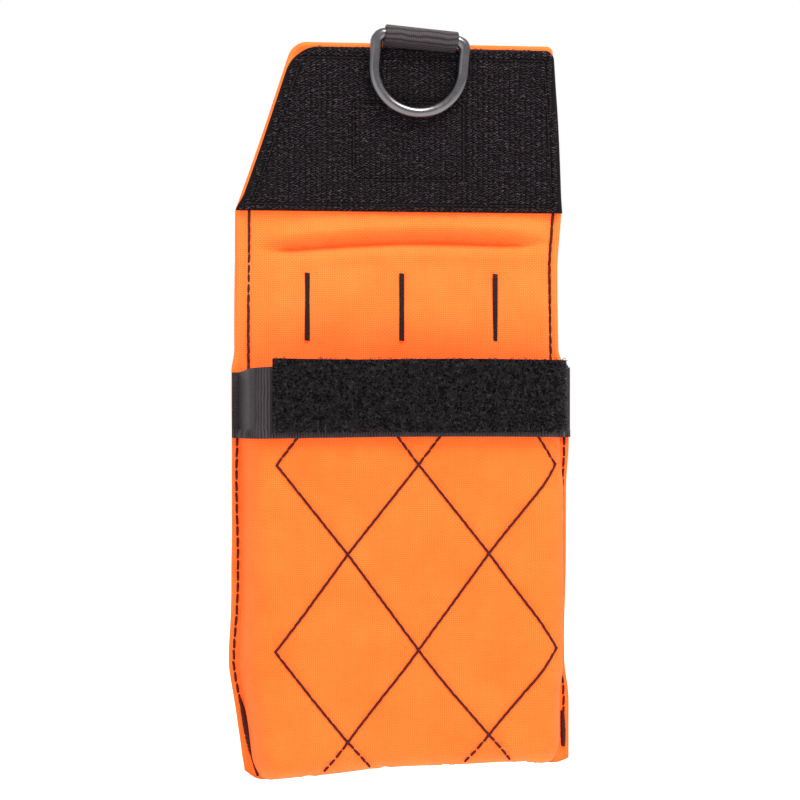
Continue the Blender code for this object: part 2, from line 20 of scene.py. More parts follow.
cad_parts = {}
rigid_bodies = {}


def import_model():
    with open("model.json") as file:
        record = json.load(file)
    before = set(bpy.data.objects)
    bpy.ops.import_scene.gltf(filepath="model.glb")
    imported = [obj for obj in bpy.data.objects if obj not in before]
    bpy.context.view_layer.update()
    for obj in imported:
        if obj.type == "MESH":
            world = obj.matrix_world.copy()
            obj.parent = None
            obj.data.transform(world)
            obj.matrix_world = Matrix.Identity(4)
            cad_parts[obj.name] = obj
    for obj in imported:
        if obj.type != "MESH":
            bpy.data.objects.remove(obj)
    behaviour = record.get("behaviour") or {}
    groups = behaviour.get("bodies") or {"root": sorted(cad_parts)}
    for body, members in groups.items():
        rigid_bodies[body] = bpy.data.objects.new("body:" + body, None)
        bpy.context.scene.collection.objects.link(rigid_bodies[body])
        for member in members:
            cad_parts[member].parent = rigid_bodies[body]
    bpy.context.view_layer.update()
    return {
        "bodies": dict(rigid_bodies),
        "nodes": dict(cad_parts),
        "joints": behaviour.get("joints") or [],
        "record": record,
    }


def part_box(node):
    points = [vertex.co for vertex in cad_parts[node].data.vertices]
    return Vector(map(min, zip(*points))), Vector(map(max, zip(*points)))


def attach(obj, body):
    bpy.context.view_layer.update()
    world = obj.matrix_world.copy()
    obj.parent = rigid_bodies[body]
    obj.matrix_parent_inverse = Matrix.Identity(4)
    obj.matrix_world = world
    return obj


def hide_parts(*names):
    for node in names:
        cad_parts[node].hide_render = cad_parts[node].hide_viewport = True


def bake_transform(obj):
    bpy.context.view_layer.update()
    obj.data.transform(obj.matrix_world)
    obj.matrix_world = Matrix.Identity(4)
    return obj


LOG = logging.getLogger("pouch")
MM = 0.001
Places = np.ndarray


class Side(Enum):
    """A side of the pouch, seen from its front."""

    LEFT = -1
    RIGHT = 1


class Way(Enum):
    """The way a stitched surface faces."""

    FRONT = (0.0, -1.0, 0.0)
    BACK = (0.0, 1.0, 0.0)


# ---------------------------------------------------------------------------------------------
# Small tools


def linear_rgb(hex_colour: str) -> tuple[float, float, float, float]:
    """Turn an sRGB hex value into linear light.

    Args:
        hex_colour: Six hex digits.

    Returns:
        Red, green, blue and an alpha of one.
    """
    channels = [int(hex_colour[i : i + 2], 16) / 255 for i in (0, 2, 4)]
    bent = [c / 12.92 if c <= 0.04045 else ((c + 0.055) / 1.055) ** 2.4 for c in channels]
    return (*bent, 1.0)


def add_node(
    tree: bpy.types.NodeTree,
    kind: str,
    sockets: dict | None = None,
    **settings: object,
) -> bpy.types.Node:
    """Add a node with its settings and links.

    Args:
        tree: The tree that takes the node.
        kind: The node's type.
        sockets: Input name or index to a value, or to an output socket to link from.
        **settings: Properties of the node itself.

    Returns:
        The new node.
    """
    node = tree.nodes.new(kind)
    for name, value in settings.items():
        setattr(node, name, value)
    for key, value in (sockets or {}).items():
        if isinstance(value, bpy.types.NodeSocket):
            tree.links.new(value, node.inputs[key])
        else:
            node.inputs[key].default_value = value
    return node


def maths(tree: bpy.types.NodeTree, operation: str, *values: object) -> bpy.types.NodeSocket:
    """Add one step of arithmetic and give its result's socket."""
    node = add_node(tree, "ShaderNodeMath", dict(enumerate(values)), operation=operation)
    return node.outputs[0]


def smoothstep(low: float, high: float, value: Places) -> Places:
    """Rise smoothly from nought at low to one at high."""
    share = np.clip((np.asarray(value, float) - low) / (high - low), 0.0, 1.0)
    return share * share * (3.0 - 2.0 * share)


def hump(value: Places, middle: float, width: float) -> Places:
    """A bell-shaped hump of height one."""
    return np.exp(-(((np.asarray(value, float) - middle) / width) ** 2))


def waves(x: Places, z: Places, seed: int, size: float, count: int = 7) -> Places:
    """Gentle uneven rolls, made of a few long waves in different directions.

    Args:
        x: Places across.
        z: Places up.
        seed: Picks the directions and phases.
        size: The shortest wavelength.
        count: How many waves are added up.

    Returns:
        Heights between about minus one and one.
    """
    draw = np.random.default_rng(seed)
    total = np.zeros_like(np.asarray(x, float))
    for _ in range(count):
        heading = draw.uniform(0.0, math.pi)
        length = size * draw.uniform(1.0, 2.4)
        phase = draw.uniform(0.0, math.tau)
        along = x * math.cos(heading) + z * math.sin(heading)
        total += np.sin(along / length * math.tau + phase)
    return total / math.sqrt(count)


def new_piece(name: str, mesh: bpy.types.Mesh, *finishes: bpy.types.Material) -> bpy.types.Object:
    """Link a mesh as a piece at the origin, with its materials.

    Args:
        name: The piece's name.
        mesh: Its mesh, with places in the object's frame.
        *finishes: Its materials, in slot order.

    Returns:
        The new object.
    """
    mesh.name = name
    piece = bpy.data.objects.new(name, mesh)
    bpy.context.scene.collection.objects.link(piece)
    for finish in finishes:
        if finish.name not in [m.name for m in mesh.materials if m]:
            mesh.materials.append(finish)
    return piece


def settled(piece: bpy.types.Object) -> bpy.types.Object:
    """Turn what a piece's modifiers make into its plain mesh, and remove them."""
    graph = bpy.context.evaluated_depsgraph_get()
    mesh = bpy.data.meshes.new_from_object(piece.evaluated_get(graph), depsgraph=graph)
    old = piece.data
    name = old.name
    piece.modifiers.clear()
    piece.data = mesh
    if isinstance(old, bpy.types.Mesh):
        bpy.data.meshes.remove(old)
    mesh.name = name
    return piece


def points_of(mesh: bpy.types.Mesh) -> Places:
    """A mesh's vertex places as an array of rows."""
    flat = np.empty(len(mesh.vertices) * 3)
    mesh.vertices.foreach_get("co", flat)
    return flat.reshape(-1, 3)


def normals_of(mesh: bpy.types.Mesh) -> Places:
    """A mesh's vertex normals as an array of rows."""
    flat = np.empty(len(mesh.vertices) * 3)
    mesh.vertex_normals.foreach_get("vector", flat)
    return flat.reshape(-1, 3)


def put_points(mesh: bpy.types.Mesh, places: Places) -> None:
    """Move a mesh's vertices to new places."""
    mesh.vertices.foreach_set("co", np.ascontiguousarray(places, float).ravel())
    mesh.update()


# ---------------------------------------------------------------------------------------------
# Finishes


@dataclass(frozen=True)
class Finish:
    """A material of one name, made once."""

    name: str

    def build(self, tree: bpy.types.NodeTree, shader: bpy.types.Node) -> None:
        """Add the finish's own nodes and settings."""
        raise NotImplementedError

    def material(self) -> bpy.types.Material:
        """Give the Blender material, and make it the first time."""
        made = bpy.data.materials.get(self.name)
        if made:
            return made
        made = bpy.data.materials.new(self.name)
        made.use_nodes = True
        tree = made.node_tree
        self.build(tree, tree.nodes["Principled BSDF"])
        return made

    def bump(
        self,
        tree: bpy.types.NodeTree,
        shader: bpy.types.Node,
        height: bpy.types.NodeSocket,
        depth: float,
        strength: float = 1.0,
    ) -> None:
        """Raise the surface by a height of nought to one, over a real depth."""
        bump = add_node(
            tree,
            "ShaderNodeBump",
            {"Strength": strength, "Distance": depth, "Height": height},
        )
        tree.links.new(bump.outputs[0], shader.inputs["Normal"])

    def cloth_place(self, tree: bpy.types.NodeTree, yarn: float) -> list[bpy.types.NodeSocket]:
        """Give the place along and across the cloth, in yarns."""
        uv = add_node(tree, "ShaderNodeUVMap", uv_map="Cloth")
        wander = add_node(tree, "ShaderNodeTexNoise", {"Vector": uv.outputs[0], "Scale": 160.0})
        parts = add_node(tree, "ShaderNodeSeparateXYZ", {0: uv.outputs[0]})
        drift = add_node(tree, "ShaderNodeSeparateColor", {0: wander.outputs["Color"]})
        return [
            maths(tree, "MULTIPLY_ADD", parts.outputs[i], 1.0 / yarn, drift.outputs[i])
            for i in (0, 1)
        ]


@dataclass(frozen=True)
class CoatedNylon(Finish):
    """Plain-woven textured nylon, dyed fluorescent and coated behind.

    The yarns are thick and slightly uneven, so it looks like fine basketwork. The colour mixes a
    lit and a shaded orange: painted highlights where a yarn rides over and painted shade between
    the yarns, mottled at random, and a painted red glow keeps the shaded cloth red-orange.
    """

    # lit and shade are a painted highlight and a painted shade of one orange; glow is a painted red
    # glow.
    lit: str = "FF8B40"
    shade: str = "FF5A16"
    glow: str = "FF2A00"
    painted_glow_strength: float = 0.20
    yarn_mm: float = 0.62

    def build(self, tree: bpy.types.NodeTree, shader: bpy.types.Node) -> None:
        """Weave the yarns with painted highlights and shade, mottle the tone, and add the painted
        glow.
        """
        along, across = self.cloth_place(tree, self.yarn_mm * MM)
        wave_along = maths(tree, "SINE", maths(tree, "MULTIPLY", along, math.pi))
        wave_across = maths(tree, "SINE", maths(tree, "MULTIPLY", across, math.pi))
        woven = maths(tree, "MULTIPLY", wave_along, wave_across)
        rows = maths(tree, "MULTIPLY", maths(tree, "ABSOLUTE", woven), 0.8)
        woven = maths(tree, "MULTIPLY_ADD", woven, 0.25, rows)
        over = add_node(
            tree,
            "ShaderNodeMapRange",
            {"Value": woven, "From Min": -0.05, "From Max": 0.8},
            interpolation_type="SMOOTHSTEP",
        )
        place = add_node(tree, "ShaderNodeTexCoord")
        mottle = add_node(
            tree,
            "ShaderNodeTexNoise",
            {"Vector": place.outputs["Object"], "Scale": 55.0, "Detail": 5.0, "Roughness": 0.65},
        )
        share = maths(tree, "MULTIPLY_ADD", over.outputs[0], 0.62, -0.14)
        share = maths(tree, "MULTIPLY_ADD", mottle.outputs[0], 0.55, share)
        # Painted highlights where the yarns ride over and painted shade between them, mottled at
        # random.
        weave_shade_and_mottle = add_node(
            tree,
            "ShaderNodeMix",
            {0: share, 6: linear_rgb(self.shade), 7: linear_rgb(self.lit)},
            data_type="RGBA",
        )
        tree.links.new(weave_shade_and_mottle.outputs[2], shader.inputs["Base Color"])
        shader.inputs["Roughness"].default_value = 0.78
        shader.inputs["Sheen Weight"].default_value = 0.02
        shader.inputs["Specular IOR Level"].default_value = 0.12
        # Painted glow: a constant red emission that keeps the shaded cloth red-orange.
        shader.inputs["Emission Color"].default_value = linear_rgb(self.glow)
        shader.inputs["Emission Strength"].default_value = self.painted_glow_strength
        self.bump(tree, shader, over.outputs[0], 0.16 * MM, 0.75)


@dataclass(frozen=True)
class Webbing(Finish):
    """Woven nylon or polyester webbing, dyed black: ribs of weft with a slight silky shine."""

    lit: str = "2B272A"
    shade: str = "0B0A0B"
    rib_mm: float = 1.5
    yarn_mm: float = 0.7
    shine: float = 0.42
    ribs_along: bool = True

    def build(self, tree: bpy.types.NodeTree, shader: bpy.types.Node) -> None:
        """Draw ribs one way, and the yarns that bind them the other, with painted shade in the
        grooves.
        """
        along, across = self.cloth_place(tree, self.rib_mm * MM)
        if not self.ribs_along:
            along, across = across, along
        ridge = maths(
            tree, "ABSOLUTE", maths(tree, "SINE", maths(tree, "MULTIPLY", across, math.pi))
        )
        ratio = self.rib_mm / self.yarn_mm * math.pi
        row = maths(tree, "FLOOR", across)
        shifted = maths(
            tree, "MULTIPLY_ADD", row, math.pi / 2, maths(tree, "MULTIPLY", along, ratio)
        )
        grain = maths(tree, "ABSOLUTE", maths(tree, "SINE", shifted))
        height = maths(tree, "MULTIPLY", ridge, maths(tree, "MULTIPLY_ADD", grain, 0.5, 0.5))
        # Painted shade: the ribs' tops take the lit colour and their grooves the shade colour.
        tone = add_node(
            tree,
            "ShaderNodeMix",
            {0: height, 6: linear_rgb(self.shade), 7: linear_rgb(self.lit)},
            data_type="RGBA",
        )
        tree.links.new(tone.outputs[2], shader.inputs["Base Color"])
        shader.inputs["Roughness"].default_value = 1.0 - self.shine
        shader.inputs["Specular IOR Level"].default_value = 0.22
        shader.inputs["Sheen Weight"].default_value = 0.03
        self.bump(tree, shader, height, 0.25 * MM, 0.8)


@dataclass(frozen=True)
class Fibre(Finish):
    """Drawn nylon filament, dyed black and glossy along its length, with lighter specks painted as
    glints.
    """

    colour: str = "17151A"
    painted_glint: str = "3A3440"
    roughness: float = 0.36
    gloss: float = 0.3
    painted_glint_scale: float = 900.0

    def build(self, tree: bpy.types.NodeTree, shader: bpy.types.Node) -> None:
        """Paint lighter specks on the filaments as glints."""
        place = add_node(tree, "ShaderNodeTexCoord")
        noise = add_node(
            tree,
            "ShaderNodeTexNoise",
            {"Vector": place.outputs["Object"], "Scale": self.painted_glint_scale, "Detail": 1.0},
        )
        # Painted glints: random specks take a lighter colour.
        painted_glint_share = add_node(
            tree,
            "ShaderNodeMapRange",
            {"Value": noise.outputs[0], "From Min": 0.5, "From Max": 0.78},
        )
        tone = add_node(
            tree,
            "ShaderNodeMix",
            {0: painted_glint_share.outputs[0], 6: linear_rgb(self.colour), 7: linear_rgb(self.painted_glint)},
            data_type="RGBA",
        )
        tree.links.new(tone.outputs[2], shader.inputs["Base Color"])
        shader.inputs["Roughness"].default_value = self.roughness
        shader.inputs["Specular IOR Level"].default_value = self.gloss


@dataclass(frozen=True)
class BondedThread(Finish):
    """Twisted and bonded polyester thread: three plies that show as fine slanting lines."""

    colour: str = "520A07"
    groove: str = "240404"
    twist_mm: float = 0.45

    def build(self, tree: bpy.types.NodeTree, shader: bpy.types.Node) -> None:
        """Wind the plies round the thread, with painted shade in the grooves between them."""
        place = add_node(tree, "ShaderNodeTexCoord")
        wave = add_node(
            tree,
            "ShaderNodeTexWave",
            {
                "Vector": place.outputs["Object"], "Scale": 0.31 / (self.twist_mm * MM),
                "Distortion": 1.0
            },
            bands_direction="DIAGONAL",
        )
        # Painted shade: the grooves between the plies take the darker groove colour.
        tone = add_node(
            tree,
            "ShaderNodeMix",
            {0: wave.outputs["Fac"], 6: linear_rgb(self.groove), 7: linear_rgb(self.colour)},
            data_type="RGBA",
        )
        tree.links.new(tone.outputs[2], shader.inputs["Base Color"])
        shader.inputs["Roughness"].default_value = 0.55
        shader.inputs["Specular IOR Level"].default_value = 0.25
        self.bump(tree, shader, wave.outputs["Fac"], 0.06 * MM)


@dataclass(frozen=True)
class DarkNickel(Finish):
    """Bent and welded steel wire, plated with black nickel: a smoky mirror with faint rub marks."""

    colour: str = "5A595E"
    rubbed: str = "7C797A"
    roughness: float = 0.24

    def build(self, tree: bpy.types.NodeTree, shader: bpy.types.Node) -> None:
        """Rub the plating unevenly, and score it finely."""
        place = add_node(tree, "ShaderNodeTexCoord")
        rub = add_node(
            tree,
            "ShaderNodeTexNoise",
            {"Vector": place.outputs["Object"], "Scale": 240.0, "Detail": 6.0, "Roughness": 0.7},
        )
        tone = add_node(
            tree,
            "ShaderNodeMix",
            {0: rub.outputs[0], 6: linear_rgb(self.colour), 7: linear_rgb(self.rubbed)},
            data_type="RGBA",
        )
        tree.links.new(tone.outputs[2], shader.inputs["Base Color"])
        dull = add_node(
            tree,
            "ShaderNodeMapRange",
            {
                "Value": rub.outputs[0], "To Min": self.roughness - 0.06,
                "To Max": self.roughness + 0.12
            },
        )
        tree.links.new(dull.outputs[0], shader.inputs["Roughness"])
        shader.inputs["Metallic"].default_value = 1.0
        self.bump(tree, shader, rub.outputs[0], 0.02 * MM, 0.5)


@dataclass(frozen=True)
class MouldedRubber(Finish):
    """Soft moulded rubber, spark-textured in its mould: dull, with a fine even grain."""

    colour: str = "1B1B1C"
    grain_mm: float = 0.5

    def build(self, tree: bpy.types.NodeTree, shader: bpy.types.Node) -> None:
        """Grain the surface, and wear its high spots."""
        place = add_node(tree, "ShaderNodeTexCoord")
        grain = add_node(
            tree,
            "ShaderNodeTexVoronoi",
            {"Vector": place.outputs["Object"], "Scale": 1.0 / (self.grain_mm * MM)},
        )
        worn = add_node(
            tree,
            "ShaderNodeTexNoise",
            {"Vector": place.outputs["Object"], "Scale": 70.0, "Detail": 4.0},
        )
        rough = add_node(
            tree,
            "ShaderNodeMapRange",
            {"Value": worn.outputs[0], "To Min": 0.52, "To Max": 0.8},
        )
        tree.links.new(rough.outputs[0], shader.inputs["Roughness"])
        shader.inputs["Base Color"].default_value = linear_rgb(self.colour)
        self.bump(tree, shader, grain.outputs["Distance"], 0.08 * MM, 0.6)


@dataclass(frozen=True)
class PaperSweep(Finish):
    """Matt white seamless background paper."""

    colour: str = "FDFDFD"
    glow: float = 0.35

    def build(self, tree: bpy.types.NodeTree, shader: bpy.types.Node) -> None:
        """Leave it plain."""
        shader.inputs["Base Color"].default_value = linear_rgb(self.colour)
        shader.inputs["Roughness"].default_value = 0.9
        shader.inputs["Emission Color"].default_value = linear_rgb(self.colour)
        shader.inputs["Emission Strength"].default_value = self.glow


OUTER_CLOTH = CoatedNylon("Fluorescent orange textured nylon")
# The lining is the outer cloth's orange made lighter: painted light on the back and the flap.
LINING_PAINTED_LIGHTER = CoatedNylon("Fluorescent orange nylon lining", lit="FF964C", shade="FF621C")
STRAP = Webbing("Black nylon webbing")
TAB_STRAP = Webbing("Black ribbed tab webbing", lit="4A4346", shade="040304", rib_mm=1.55)
ELASTIC = Webbing(
    "Black ribbed elastic", lit="463D41", shade="040304", rib_mm=0.85, yarn_mm=0.6, ribs_along=False
)
SATIN = Webbing("Black satin binding", lit="352C30", rib_mm=0.5, yarn_mm=0.5, shine=0.6)
PILE_GROUND = Fibre(
    "Black loop tape ground", colour="080708", painted_glint="100F10", roughness=0.9, gloss=0.1
)
PILE_LOOPS = Fibre(
    "Black nylon loop pile", colour="161415", painted_glint="474145", roughness=0.45, gloss=0.25
)
HOOK_GROUND = Fibre(
    "Black hook tape ground", colour="0B080B", painted_glint="1A1418", roughness=0.8, gloss=0.12
)
HOOK_BARBS = Fibre("Black nylon hooks", colour="2B2329", painted_glint="6B5F67", roughness=0.4, gloss=0.4)
DARK_THREAD = BondedThread("Dark maroon bonded thread")
BLACK_THREAD = BondedThread("Black bonded thread", colour="241C20", groove="0C090B")
RING_STEEL = DarkNickel("Black nickel plated steel wire")
PATCH_RUBBER = MouldedRubber("Black moulded rubber")
SWEEP = PaperSweep("White background paper")


# ---------------------------------------------------------------------------------------------
# Geometry nodes


@dataclass(frozen=True)
class NodeInput:
    """A named input of a geometry tree."""

    name: str
    kind: str
    value: object


def new_geometry_tree(name: str, inputs: Sequence[NodeInput]) -> bpy.types.NodeTree:
    """Make a geometry tree with a geometry input and output, and its named sizes.

    Args:
        name: The tree's name.
        inputs: Its other inputs, in order.

    Returns:
        The tree, with its group input and output nodes.
    """
    tree = bpy.data.node_groups.new(name, "GeometryNodeTree")
    tree.interface.new_socket("Geometry", in_out="INPUT", socket_type="NodeSocketGeometry")
    for entry in inputs:
        socket = tree.interface.new_socket(entry.name, in_out="INPUT", socket_type=entry.kind)
        if entry.value is not None:
            socket.default_value = entry.value
    tree.interface.new_socket("Geometry", in_out="OUTPUT", socket_type="NodeSocketGeometry")
    tree.nodes.new("NodeGroupInput")
    tree.nodes.new("NodeGroupOutput")
    return tree


def finish_geometry_tree(tree: bpy.types.NodeTree, instances: bpy.types.NodeSocket) -> None:
    """End a tree by making its instances real and giving them the tree's finish."""
    entry = tree.nodes["Group Input"]
    real = add_node(tree, "GeometryNodeRealizeInstances", {0: instances})
    dressed = add_node(
        tree,
        "GeometryNodeSetMaterial",
        {"Geometry": real.outputs[0], "Material": entry.outputs["Finish"]},
    )
    smooth = add_node(tree, "GeometryNodeSetShadeSmooth", {0: dressed.outputs[0]})
    tree.links.new(smooth.outputs[0], tree.nodes["Group Output"].inputs[0])


def run_tree(piece: bpy.types.Object, tree: bpy.types.NodeTree, values: dict) -> bpy.types.Object:
    """Run a geometry tree on a piece, and keep the result as its plain mesh.

    Args:
        piece: The piece that the tree starts from.
        tree: The geometry tree.
        values: The tree's input names to their values.

    Returns:
        The same piece, with no modifier.
    """
    modifier = piece.modifiers.new(tree.name, "NODES")
    modifier.node_group = tree
    sockets = {
        item.name: item.identifier
        for item in tree.interface.items_tree
        if item.item_type == "SOCKET" and item.in_out == "INPUT"
    }
    for name, value in values.items():
        modifier[sockets[name]] = value
    piece.update_tag()
    return settled(piece)


class StitchTree:
    """Lays one stitch after another along a path: a round thread that dips at both ends."""

    @staticmethod
    def tree() -> bpy.types.NodeTree:
        """Give the geometry tree, and build it the first time."""
        name = "Stitches along a path"
        made = bpy.data.node_groups.get(name)
        if made:
            return made
        tree = new_geometry_tree(
            name,
            [
                NodeInput("Pitch", "NodeSocketFloat", 2.6 * MM),
                NodeInput("Length", "NodeSocketFloat", 2.4 * MM),
                NodeInput("Thread", "NodeSocketFloat", 0.5 * MM),
                NodeInput("Rise", "NodeSocketFloat", 0.2 * MM),
                NodeInput("Slant", "NodeSocketFloat", 0.0),
                NodeInput("Uneven", "NodeSocketFloat", 0.06),
                NodeInput("Taper", "NodeSocketFloat", 0.0),
                NodeInput("Outward", "NodeSocketVector", (0.0, -1.0, 0.0)),
                NodeInput("Finish", "NodeSocketMaterial", None),
            ],
        )
        entry = tree.nodes["Group Input"].outputs
        path = add_node(tree, "GeometryNodeMeshToCurve", {0: entry["Geometry"]})
        spots = add_node(
            tree,
            "GeometryNodeResampleCurve",
            {"Curve": path.outputs[0], "Length": entry["Pitch"]},
            mode="LENGTH",
        )
        tangent = add_node(tree, "GeometryNodeInputTangent")
        upright = add_node(
            tree,
            "FunctionNodeAlignRotationToVector",
            {"Vector": entry["Outward"]},
            axis="Z",
        )
        turned = add_node(
            tree,
            "FunctionNodeAlignRotationToVector",
            {"Rotation": upright.outputs[0], "Vector": tangent.outputs[0]},
            axis="X",
            pivot_axis="Z",
        )
        wobble = add_node(
            tree,
            "FunctionNodeRandomValue",
            {"Min": (-1.0, -1.0, -1.0), "Max": (1.0, 1.0, 1.0), "Seed": 7},
            data_type="FLOAT_VECTOR",
        )
        wobble_by = add_node(
            tree,
            "ShaderNodeVectorMath",
            {0: wobble.outputs[0], "Scale": entry["Uneven"]},
            operation="SCALE",
        )
        lean = add_node(tree, "ShaderNodeCombineXYZ", {"Z": entry["Slant"]})
        lean_all = add_node(
            tree,
            "ShaderNodeVectorMath",
            {0: wobble_by.outputs[0], 1: lean.outputs[0]},
            operation="ADD",
        )
        leaning = add_node(
            tree,
            "FunctionNodeRotateRotation",
            {"Rotation": turned.outputs[0], "Rotate By": lean_all.outputs[0]},
            rotation_space="LOCAL",
        )

        arc = add_node(tree, "GeometryNodeCurveArc", {"Resolution": 7}, mode="POINTS")
        half = maths(tree, "MULTIPLY", entry["Length"], 0.5)
        back = maths(tree, "MULTIPLY", entry["Length"], -0.5)
        low = maths(tree, "MULTIPLY", entry["Thread"], -0.35)
        start = add_node(tree, "ShaderNodeCombineXYZ", {"X": back, "Z": low})
        middle = add_node(tree, "ShaderNodeCombineXYZ", {"Z": entry["Rise"]})
        end = add_node(tree, "ShaderNodeCombineXYZ", {"X": half, "Z": low})
        for index, place in enumerate((start, middle, end)):
            tree.links.new(place.outputs[0], arc.inputs[("Start", "Middle", "End")[index]])
        radius = maths(tree, "MULTIPLY", entry["Thread"], 0.5)
        section = add_node(
            tree,
            "GeometryNodeCurvePrimitiveCircle",
            {"Resolution": 6, "Radius": radius},
        )
        stitch = add_node(
            tree,
            "GeometryNodeCurveToMesh",
            {"Curve": arc.outputs[0], "Profile Curve": section.outputs[0], "Fill Caps": True},
        )
        share = add_node(tree, "GeometryNodeSplineParameter").outputs["Factor"]
        swell = maths(tree, "SINE", maths(tree, "MULTIPLY", share, math.pi))
        less = maths(tree, "MULTIPLY", maths(tree, "SUBTRACT", 1.0, swell), entry["Taper"])
        wide = maths(tree, "SUBTRACT", 1.0, less)
        scale = add_node(tree, "ShaderNodeCombineXYZ", {"X": wide, "Y": 1.0, "Z": 1.0})
        laid = add_node(
            tree,
            "GeometryNodeInstanceOnPoints",
            {
                "Points": spots.outputs[0],
                "Instance": stitch.outputs[0],
                "Rotation": leaning.outputs[0],
                "Scale": scale.outputs[0],
            },
        )
        finish_geometry_tree(tree, laid.outputs[0])
        return tree


class TuftTree:
    """Sets a small bent filament at each point of a mesh: loops of pile, or hooks in rows."""

    @staticmethod
    def tree() -> bpy.types.NodeTree:
        """Give the geometry tree, and build it the first time."""
        name = "Bent filaments on points"
        made = bpy.data.node_groups.get(name)
        if made:
            return made
        tree = new_geometry_tree(
            name,
            [
                NodeInput("Reach", "NodeSocketFloat", 0.8 * MM),
                NodeInput("Rise", "NodeSocketFloat", 0.9 * MM),
                NodeInput("Return", "NodeSocketFloat", 0.0),
                NodeInput("Filament", "NodeSocketFloat", 0.2 * MM),
                NodeInput("Tilt", "NodeSocketFloat", 0.6),
                NodeInput("Turn", "NodeSocketFloat", math.pi),
                NodeInput("Smallest", "NodeSocketFloat", 0.7),
                NodeInput("Largest", "NodeSocketFloat", 1.3),
                NodeInput("Outward", "NodeSocketVector", (0.0, -1.0, 0.0)),
                NodeInput("Finish", "NodeSocketMaterial", None),
            ],
        )
        entry = tree.nodes["Group Input"].outputs
        upright = add_node(
            tree,
            "FunctionNodeAlignRotationToVector",
            {"Vector": entry["Outward"]},
            axis="Z",
        )
        draw = add_node(
            tree,
            "FunctionNodeRandomValue",
            {"Min": (-1.0, -1.0, -1.0), "Max": (1.0, 1.0, 1.0), "Seed": 11},
            data_type="FLOAT_VECTOR",
        )
        spread = add_node(
            tree,
            "ShaderNodeCombineXYZ",
            {"X": entry["Tilt"], "Y": entry["Tilt"], "Z": entry["Turn"]},
        )
        lean = add_node(
            tree,
            "ShaderNodeVectorMath",
            {0: draw.outputs[0], 1: spread.outputs[0]},
            operation="MULTIPLY",
        )
        leaning = add_node(
            tree,
            "FunctionNodeRotateRotation",
            {"Rotation": upright.outputs[0], "Rotate By": lean.outputs[0]},
            rotation_space="LOCAL",
        )
        size = add_node(
            tree,
            "FunctionNodeRandomValue",
            {2: entry["Smallest"], 3: entry["Largest"], "Seed": 12},
            data_type="FLOAT",
        )
        low = maths(tree, "MULTIPLY", entry["Filament"], -0.5)
        across = maths(tree, "MULTIPLY", entry["Reach"], 0.5)
        foot = add_node(
            tree, "ShaderNodeCombineXYZ", {"X": maths(tree, "MULTIPLY", across, -1.0), "Z": low}
        )
        crown = add_node(tree, "ShaderNodeCombineXYZ", {"Z": entry["Rise"]})
        tip = add_node(tree, "ShaderNodeCombineXYZ", {"X": across, "Z": entry["Return"]})
        bend = add_node(
            tree,
            "GeometryNodeCurveQuadraticBezier",
            {
                "Resolution": 4, "Start": foot.outputs[0], "Middle": crown.outputs[0],
                "End": tip.outputs[0]
            },
        )
        radius = maths(tree, "MULTIPLY", entry["Filament"], 0.5)
        section = add_node(
            tree,
            "GeometryNodeCurvePrimitiveCircle",
            {"Resolution": 3, "Radius": radius},
        )
        filament = add_node(
            tree,
            "GeometryNodeCurveToMesh",
            {"Curve": bend.outputs[0], "Profile Curve": section.outputs[0], "Fill Caps": True},
        )
        points = add_node(tree, "GeometryNodeMeshToPoints", {0: entry["Geometry"]})
        set_down = add_node(
            tree,
            "GeometryNodeInstanceOnPoints",
            {
                "Points": points.outputs[0],
                "Instance": filament.outputs[0],
                "Rotation": leaning.outputs[0],
                "Scale": size.outputs[1],
            },
        )
        finish_geometry_tree(tree, set_down.outputs[0])
        return tree


def path_mesh(name: str, runs: Sequence[Places]) -> bpy.types.Mesh:
    """A mesh of edges along open runs of places."""
    places: list = []
    edges: list = []
    for run in runs:
        first = len(places)
        places.extend(map(tuple, run))
        edges.extend((first + i, first + i + 1) for i in range(len(run) - 1))
    mesh = bpy.data.meshes.new(name)
    mesh.from_pydata(places, edges, [])
    return mesh


def cloud_mesh(name: str, places: Places) -> bpy.types.Mesh:
    """A mesh of loose points."""
    mesh = bpy.data.meshes.new(name)
    mesh.from_pydata([tuple(place) for place in places], [], [])
    return mesh


@dataclass
class StitchLine:
    """A row of stitches along some runs of places.

    Attributes:
        name: The piece's name.
        runs: The paths, each a list of places on the cloth.
        way: The way the cloth faces.
        finish: The thread.
        pitch: From one stitch to the next.
        length: Of one stitch.
        thread: Its thickness.
        rise: How far it stands up in the middle.
        slant: How far it turns from the path.
        uneven: How much each stitch wanders in its turn.
        taper: How much shorter the stitches get towards the row's ends.
    """

    name: str
    runs: Sequence[Places]
    way: Way = Way.FRONT
    finish: Finish = DARK_THREAD
    pitch: float = 2.6 * MM
    length: float = 2.5 * MM
    thread: float = 0.5 * MM
    rise: float = 0.12 * MM
    slant: float = 0.0
    uneven: float = 0.08
    taper: float = 0.0

    def make(self) -> bpy.types.Object:
        """Sew the row, and give the piece."""
        piece = new_piece(self.name, path_mesh(self.name, self.runs))
        values = {
            "Pitch": self.pitch,
            "Length": self.length,
            "Thread": self.thread,
            "Rise": self.rise,
            "Slant": self.slant,
            "Uneven": self.uneven,
            "Taper": self.taper,
            "Outward": self.way.value,
            "Finish": self.finish.material(),
        }
        return run_tree(piece, StitchTree.tree(), values)


